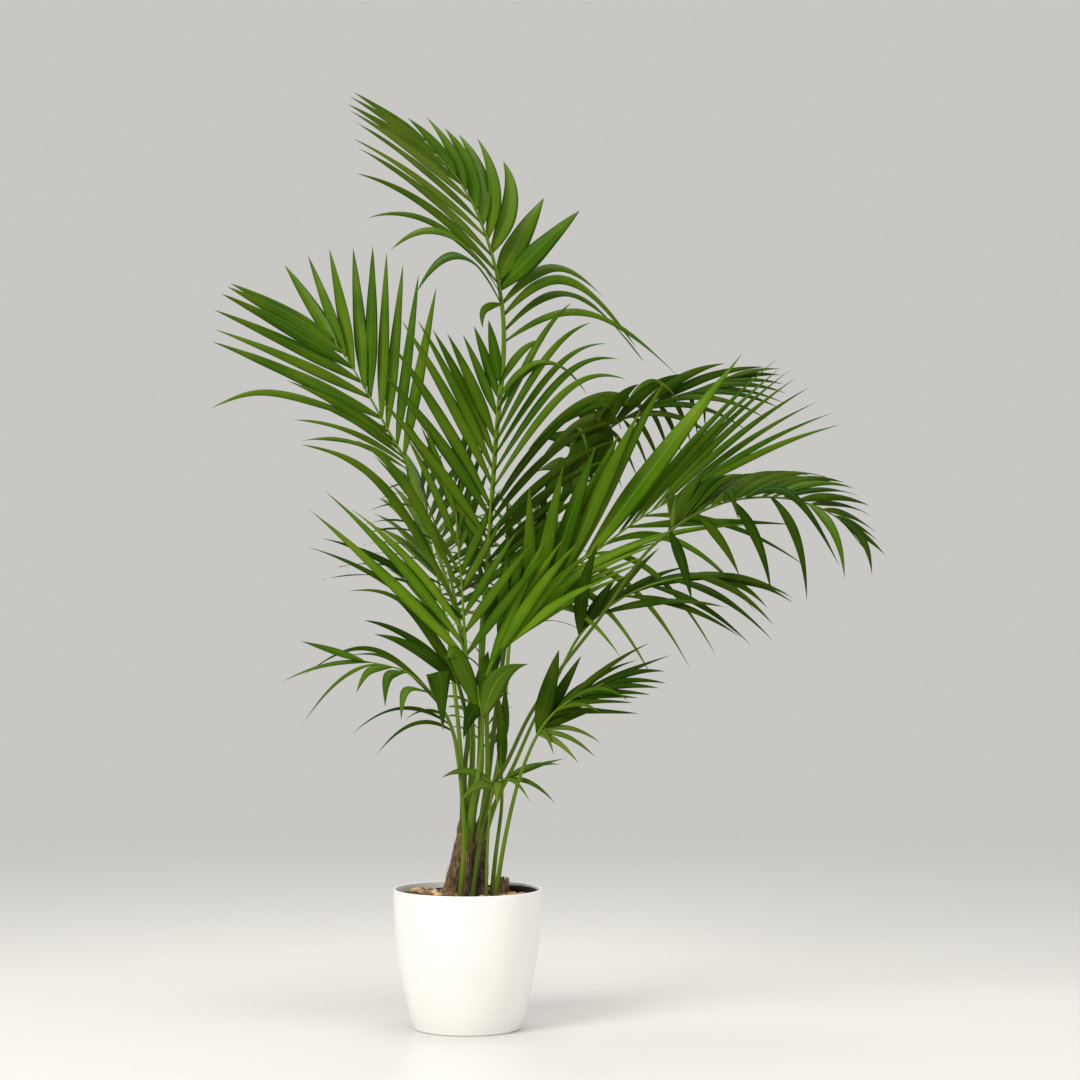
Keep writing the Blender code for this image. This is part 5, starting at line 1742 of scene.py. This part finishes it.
@dataclass
class Leaflet:
    """One leaflet: a long folded blade on a curved line.

    Args:
        base: Where it leaves the rib.
        tip: Where it ends.
        width: Widest part.
        rise: Height of its bend.
        row: Row that it belongs to.
        facing: Direction that the upper side faces.
        roll: Turn about its own line, at the root and at the tip.
        wave: Height of the ripple along its edges.
        fold: Steepness of each half to the midrib.
        number: Whole number that its places across start from, which its own green is dealt by.
    """

    base: np.ndarray
    tip: np.ndarray
    width: float
    rise: float
    row: Row
    facing: Point
    roll: Pair
    wave: float
    fold: float
    number: int
    phase: float = 0.0
    stations: int = 26
    root_share: float = 0.24
    widest_at: float = 0.34
    fullness: float = 1.6
    taper: float = 0.95
    thickness: float = 0.0005

    def line(self, t: np.ndarray) -> np.ndarray:
        """Points of the middle line."""
        chord = self.tip - self.base
        corner = self.base + chord * self.row.bend + unit(np.array(self.row.way)) * self.rise
        near = self.base + (corner - self.base) * self.row.crook
        far = self.tip + (corner - self.tip) * self.row.crook
        t = t[:, None]
        return (
            (1 - t) ** 3 * self.base
            + 3 * (1 - t) ** 2 * t * near
            + 3 * (1 - t) * t**2 * far
            + t**3 * self.tip
        )

    def half_width(self, t: np.ndarray) -> np.ndarray:
        """Half the width at each share of the length."""
        rising = self.root_share + (1 - self.root_share) * np.sin(
            np.clip(t / self.widest_at, 0, 1) * pi / 2
        )
        past = np.clip((t - self.widest_at) / (1 - self.widest_at), 0, 1)
        falling = (1 - past**self.fullness) ** (self.taper * self.row.slim)
        return np.where(t < self.widest_at, rising, falling) * self.width / 2

    def add_to(self, surface: Surface) -> None:
        """Add the blade, with its underside on the second material."""
        even = np.linspace(0.0, 1.0, self.stations)
        t = 1 - (1 - even) ** 1.15
        middle = self.line(t)
        side, up = carried_sides(tangents_of(middle), self.facing)
        angle = np.radians(self.roll[0] + (self.roll[1] - self.roll[0]) * t)[:, None]
        turned = side * np.cos(angle) + up * np.sin(angle)
        up = up * np.cos(angle) - side * np.sin(angle)
        half = self.half_width(t)[:, None]
        length = float(np.linalg.norm(self.tip - self.base))
        places = np.array([-1.0, -0.62, -0.3, 0.0, 0.3, 0.62, 1.0])
        ripple = np.sin(t * length * 55 + self.phase)[:, None] * self.wave
        upper = []
        for place in places:
            drop = self.fold * abs(place) ** 1.25 * half
            edge = ripple * place * abs(place)
            upper.append(middle + turned * half * place - up * (drop - edge))
        ridge = np.clip(half * 0.12, 0.0, 0.0004)
        upper[3] = upper[3] + up * ridge
        lower = []
        for index in (5, 4, 3, 2, 1):
            body = self.thickness * (1.8 if index == 3 else 1.0)
            lower.append(upper[index] - up * np.minimum(body, half * 0.5))
        rings = np.stack(upper + lower, axis=1)
        across = self.number + np.array(
            [0.01, 0.19, 0.35, 0.5, 0.65, 0.81, 0.99, 0.81, 0.65, 0.5, 0.35, 0.19, 0.01]
        )
        finishes = np.array([0] * 6 + [1] * 6)
        surface.add_loft(rings, across, t, finishes)


@dataclass
class PalmFrond:
    """Stalk, rib and leaflets of one frond.

    Args:
        frond: Its spec.
        leaves: Leaf finishes by tone of painted light and painted shade, upper side and underside.
        stalk_finish: Finish of stalk and rib.
    """

    frond: Frond
    leaves: dict[Tone, bpy.types.Material]
    underside: bpy.types.Material
    stalk_finish: bpy.types.Material
    stalk_sides: int = 16
    stalk_step: float = 0.008
    rib_end: float = 0.0009
    fresher_share: float = 0.06

    def root(self) -> np.ndarray:
        """Point where the stalk starts."""
        place = self.frond.root[0]
        if place == "soil":
            return np.array([self.frond.root[1], self.frond.root[2], SOIL_LEVEL - 0.002])
        trunk = TRUNKS[place]
        reach, turn = self.frond.root[1], radians(self.frond.root[2])
        return np.array(
            [
                trunk.top[0] + reach * cos(turn),
                trunk.top[1] + reach * sin(turn),
                SOIL_LEVEL + trunk.height,
            ]
        )

    def spine(self) -> tuple[np.ndarray, float, float]:
        """Curve of stalk and rib, with the distance where the rib starts and its length."""
        root = self.root()
        points = [root, root + np.array([0.0, 0.0, 0.004]), *self.frond.stalk, *self.frond.rib]
        curve = curve_through(points)
        run = lengths_along(curve)
        return curve, run[CURVE_STEPS * (len(points) - len(self.frond.rib))], run[-1]

    def build_stalk(self) -> bpy.types.Object:
        """Stalk and rib as one tapering bar, wider and flatter at the foot."""
        curve, start, end = self.spine()
        steps = max(8, round(end / self.stalk_step))
        places = np.linspace(0.0, end - 0.001, steps)
        points = points_at(curve, places)
        sunk = self.frond.root[0] != "soil"
        if sunk:
            points[0] = points[0] - np.array([0.0, 0.0, 0.012])
        tangents = tangents_of(points)
        side, up = carried_sides(tangents, FORWARD)
        first, second = self.frond.radius
        on_stalk = np.interp(places, [0.0, start], [first, second])
        on_rib = np.interp(places, [start, end], [second, self.rib_end])
        radii = np.where(places < start, on_stalk, on_rib)
        clasp = np.exp(-places / 0.09) * (0.9 if sunk else 0.25)
        turn = np.arange(self.stalk_sides) * 2 * pi / self.stalk_sides
        rings = []
        for index, point in enumerate(points):
            wide = radii[index] * (1 + clasp[index])
            thick = radii[index] * (1 + clasp[index] * 0.2)
            ring = [
                point + side[index] * cos(a) * wide + up[index] * sin(a) * thick for a in turn
            ]
            rings.append(ring)
        surface = Surface()
        surface.add_loft(np.array(rings), np.linspace(0.0, 1.0, self.stalk_sides + 1), places)
        made = surface.object(f"stalk_{self.frond.name}", [self.stalk_finish])
        return place_piece(made, [f"stem_{self.frond.name}"])

    def leaflets(self) -> Iterator[tuple[Leaflet, float]]:
        """Each leaflet with a chance value that its tone is dealt by."""
        chance = np.random.default_rng(self.frond.seed)
        manner = np.random.default_rng(self.frond.seed + 100)
        curve, start, end = self.spine()
        numbers = count()
        for row in self.frond.rows:
            line = curve_through(row.tips, TIP_LINE_STEPS) if len(row.tips) > 1 else None
            for index in range(row.count):
                share = index / (row.count - 1) if row.count > 1 else 0.0
                drift = chance.uniform(-1.0, 1.0, 5)
                step = (row.last - row.first) / max(row.count - 1, 1)
                place = between((row.first, row.last), share) + PLACE_DRIFT * step * drift[3]
                place = min(max(place, 0.004), 0.996)
                base = points_at(curve, np.array([start + (end - start) * place]))[0]
                if line is None:
                    tip = np.array(row.tips[0], float)
                else:
                    past = share * (len(line) - 1)
                    low = min(int(past), len(line) - 2)
                    tip = line[low] + (line[low + 1] - line[low]) * (past - low)
                tip = tip + drift[:3] * TIP_DRIFT
                rise = between(row.bow, share) * float(np.linalg.norm(tip - base))
                yield (
                    Leaflet(
                        base=base,
                        tip=tip,
                        width=between(row.width, share) * (1 + WIDTH_DRIFT * drift[4]),
                        rise=rise,
                        row=row,
                        facing=row.face or self.frond.face,
                        roll=(manner.uniform(-10, 10), manner.uniform(-26, 26)),
                        wave=manner.uniform(0.0, 0.0009),
                        fold=manner.uniform(0.05, 0.24),
                        number=next(numbers),
                        phase=manner.uniform(0, 2 * pi),
                    ),
                    manner.uniform(0, 1),
                )

    def build_leaves(self) -> list[bpy.types.Object]:
        """Leaflets joined in one piece for each tone of painted light and painted shade, with a few moved one
        tone lighter at random.
        """
        order = list(Tone)
        piles: dict[Tone, Surface] = {}
        for leaflet, chance in self.leaflets():
            own = order.index(leaflet.row.tone or self.frond.tone)
            tone = order[max(own - 1, 0) if chance < self.fresher_share else own]
            leaflet.add_to(piles.setdefault(tone, Surface()))
        made = []
        main = max(piles, key=lambda tone: piles[tone].count)
        for tone in order:
            if tone not in piles:
                continue
            name = f"leaves_{self.frond.name}_{tone.name.lower()}"
            piece = piles[tone].object(name, [self.leaves[tone], self.underside])
            nodes = self.frond.blade_nodes if tone is main else None
            made.append(place_piece(piece, nodes))
        return made

    def build(self) -> None:
        """Stalk and leaflets."""
        self.build_stalk()
        self.build_leaves()


@dataclass
class Studio:
    """Plain pale floor, soft lights and the camera.

    Args:
        eye: Camera's place.
        lens: Focal length in millimetres on a 36 mm frame.
    """

    eye: Point = (0.138, -6.0, 0.930)
    lens: float = 105.0
    sky: float = 0.58
    sky_colour: Colour = (1.0, 0.985, 0.95)
    lamp_colour: Colour = (1.0, 0.98, 0.94)

    def area(self, name: str, place: Point, aim: Point, size: float, power: float) -> None:
        """Soft square light that faces a point.

        Args:
            name: Name of the light.
            place: Where it hangs.
            aim: Point that it faces.
            size: Length of its sides.
            power: Watts.
        """
        light = bpy.data.lights.new(name, "AREA")
        light.energy = power
        light.color = self.lamp_colour
        light.size = size
        lamp = bpy.data.objects.new(name, light)
        lamp.location = place
        lamp.rotation_euler = (Vector(aim) - Vector(place)).to_track_quat("-Z", "Y").to_euler()
        bpy.context.scene.collection.objects.link(lamp)

    def build_floor(self) -> None:
        """Wide pale floor."""
        mesh = bpy.data.meshes.new("floor")
        reach = 30.0
        corners = [(-reach, -reach, 0), (reach, -reach, 0), (reach, reach, 0), (-reach, reach, 0)]
        mesh.from_pydata(corners, [], [(0, 1, 2, 3)])
        mesh.materials.append(FloorFinish().material())
        floor = bpy.data.objects.new("floor", mesh)
        bpy.context.scene.collection.objects.link(floor)
        floor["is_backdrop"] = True

    def build_camera(self) -> None:
        """Level camera at the photograph's place."""
        view = bpy.data.cameras.new("camera")
        view.lens = self.lens
        view.sensor_width = 36.0
        view.clip_end = 100.0
        camera = bpy.data.objects.new("camera", view)
        camera.location = self.eye
        camera.rotation_euler = (pi / 2, 0.0, 0.0)
        bpy.context.scene.collection.objects.link(camera)
        bpy.context.scene.camera = camera

    def build(self) -> None:
        """Floor, sky, lights and camera."""
        self.build_floor()
        world = bpy.data.worlds.new("sky")
        world.use_nodes = True
        back = world.node_tree.nodes["Background"]
        back.inputs["Color"].default_value = (*self.sky_colour, 1.0)
        back.inputs["Strength"].default_value = self.sky
        bpy.context.scene.world = world
        bpy.context.scene.view_settings.view_transform = "Standard"
        self.area("key", (-2.6, -3.4, 3.6), (0.1, 0.0, 0.9), 1.8, 205.0)
        self.area("fill", (3.4, -3.0, 2.2), (0.1, 0.0, 0.9), 2.6, 50.0)
        self.area("top", (0.3, 0.6, 4.2), (0.1, 0.0, 0.9), 2.4, 100.0)
        self.build_camera()


def write_sizes() -> None:
    """Work out the model's box and the dressed model's box."""
    boxes = [[list(corner) for corner in box] for box in (MODEL_BOX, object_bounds())]


def main() -> None:
    """Build every piece of the plant, its pot and the studio."""
    logging.basicConfig(level=logging.INFO, format="%(name)s %(message)s")
    WhitePot().build()
    NurseryPot().build()
    Filling().build()
    bark = {
        "trunk_left": BarkFinish("pale_bark", (0.035, 0.02, 0.008), (0.14, 0.085, 0.035), (0.38, 0.25, 0.13)),
        "trunk_right": BarkFinish("dark_bark", (0.02, 0.012, 0.008), (0.09, 0.05, 0.025), (0.20, 0.12, 0.06)),
        "trunk_back": BarkFinish("back_bark", (0.03, 0.018, 0.01), (0.13, 0.08, 0.04), (0.28, 0.18, 0.10)),
        "trunk_middle": BarkFinish("strip_bark", (0.04, 0.025, 0.012), (0.17, 0.10, 0.05), (0.36, 0.24, 0.13)),
        "trunk_stub": BarkFinish("stub_bark", (0.03, 0.018, 0.01), (0.14, 0.085, 0.045), (0.30, 0.20, 0.12)),
    }
    for seed, (name, shape) in enumerate(TRUNKS.items(), 1):
        Trunk(name, shape, bark[name], seed, torn=0.012 if name == "trunk_stub" else 0.0).build()
    # Lit and shaded copies of one leaf green: the bright one is painted light, and the dark one is painted
    # shade with less shine.
    leaves = {
        Tone.PAINTED_LIGHT: LeafFinish(
            "painted_light_leaf", (0.044, 0.120, 0.001), (0.104, 0.190, 0.005), (0.20, 0.29, 0.02)
        ).material(),
        Tone.MIDDLE: LeafFinish(
            "middle_leaf", (0.024, 0.074, 0.001), (0.062, 0.120, 0.003), (0.11, 0.175, 0.010)
        ).material(),
        Tone.DARK: LeafFinish(
            "painted_shade_leaf", (0.009, 0.032, 0.001), (0.034, 0.066, 0.002), (0.060, 0.100, 0.008), shine=0.02
        ).material(),
    }
    underside = LeafFinish(
        "leaf_underside", (0.046, 0.098, 0.005), (0.098, 0.158, 0.012), (0.18, 0.25, 0.03), 0.5
    ).material()
    stalk = StalkFinish(
        "green_stalk", (0.064, 0.132, 0.004), (0.138, 0.215, 0.010), (0.12, 0.10, 0.03)
    ).material()
    # Darker copy of the stalk green: painted shade.
    shaded_stalk = StalkFinish(
        "painted_shade_stalk", (0.040, 0.078, 0.005), (0.085, 0.125, 0.010), (0.07, 0.07, 0.02)
    ).material()
    for frond in FRONDS:
        bar = shaded_stalk if frond.name in PAINTED_SHADE_STALKS else stalk
        PalmFrond(frond, leaves, underside, bar).build()
    Studio().build()
    write_sizes()


if __name__ == "__main__":
    main()
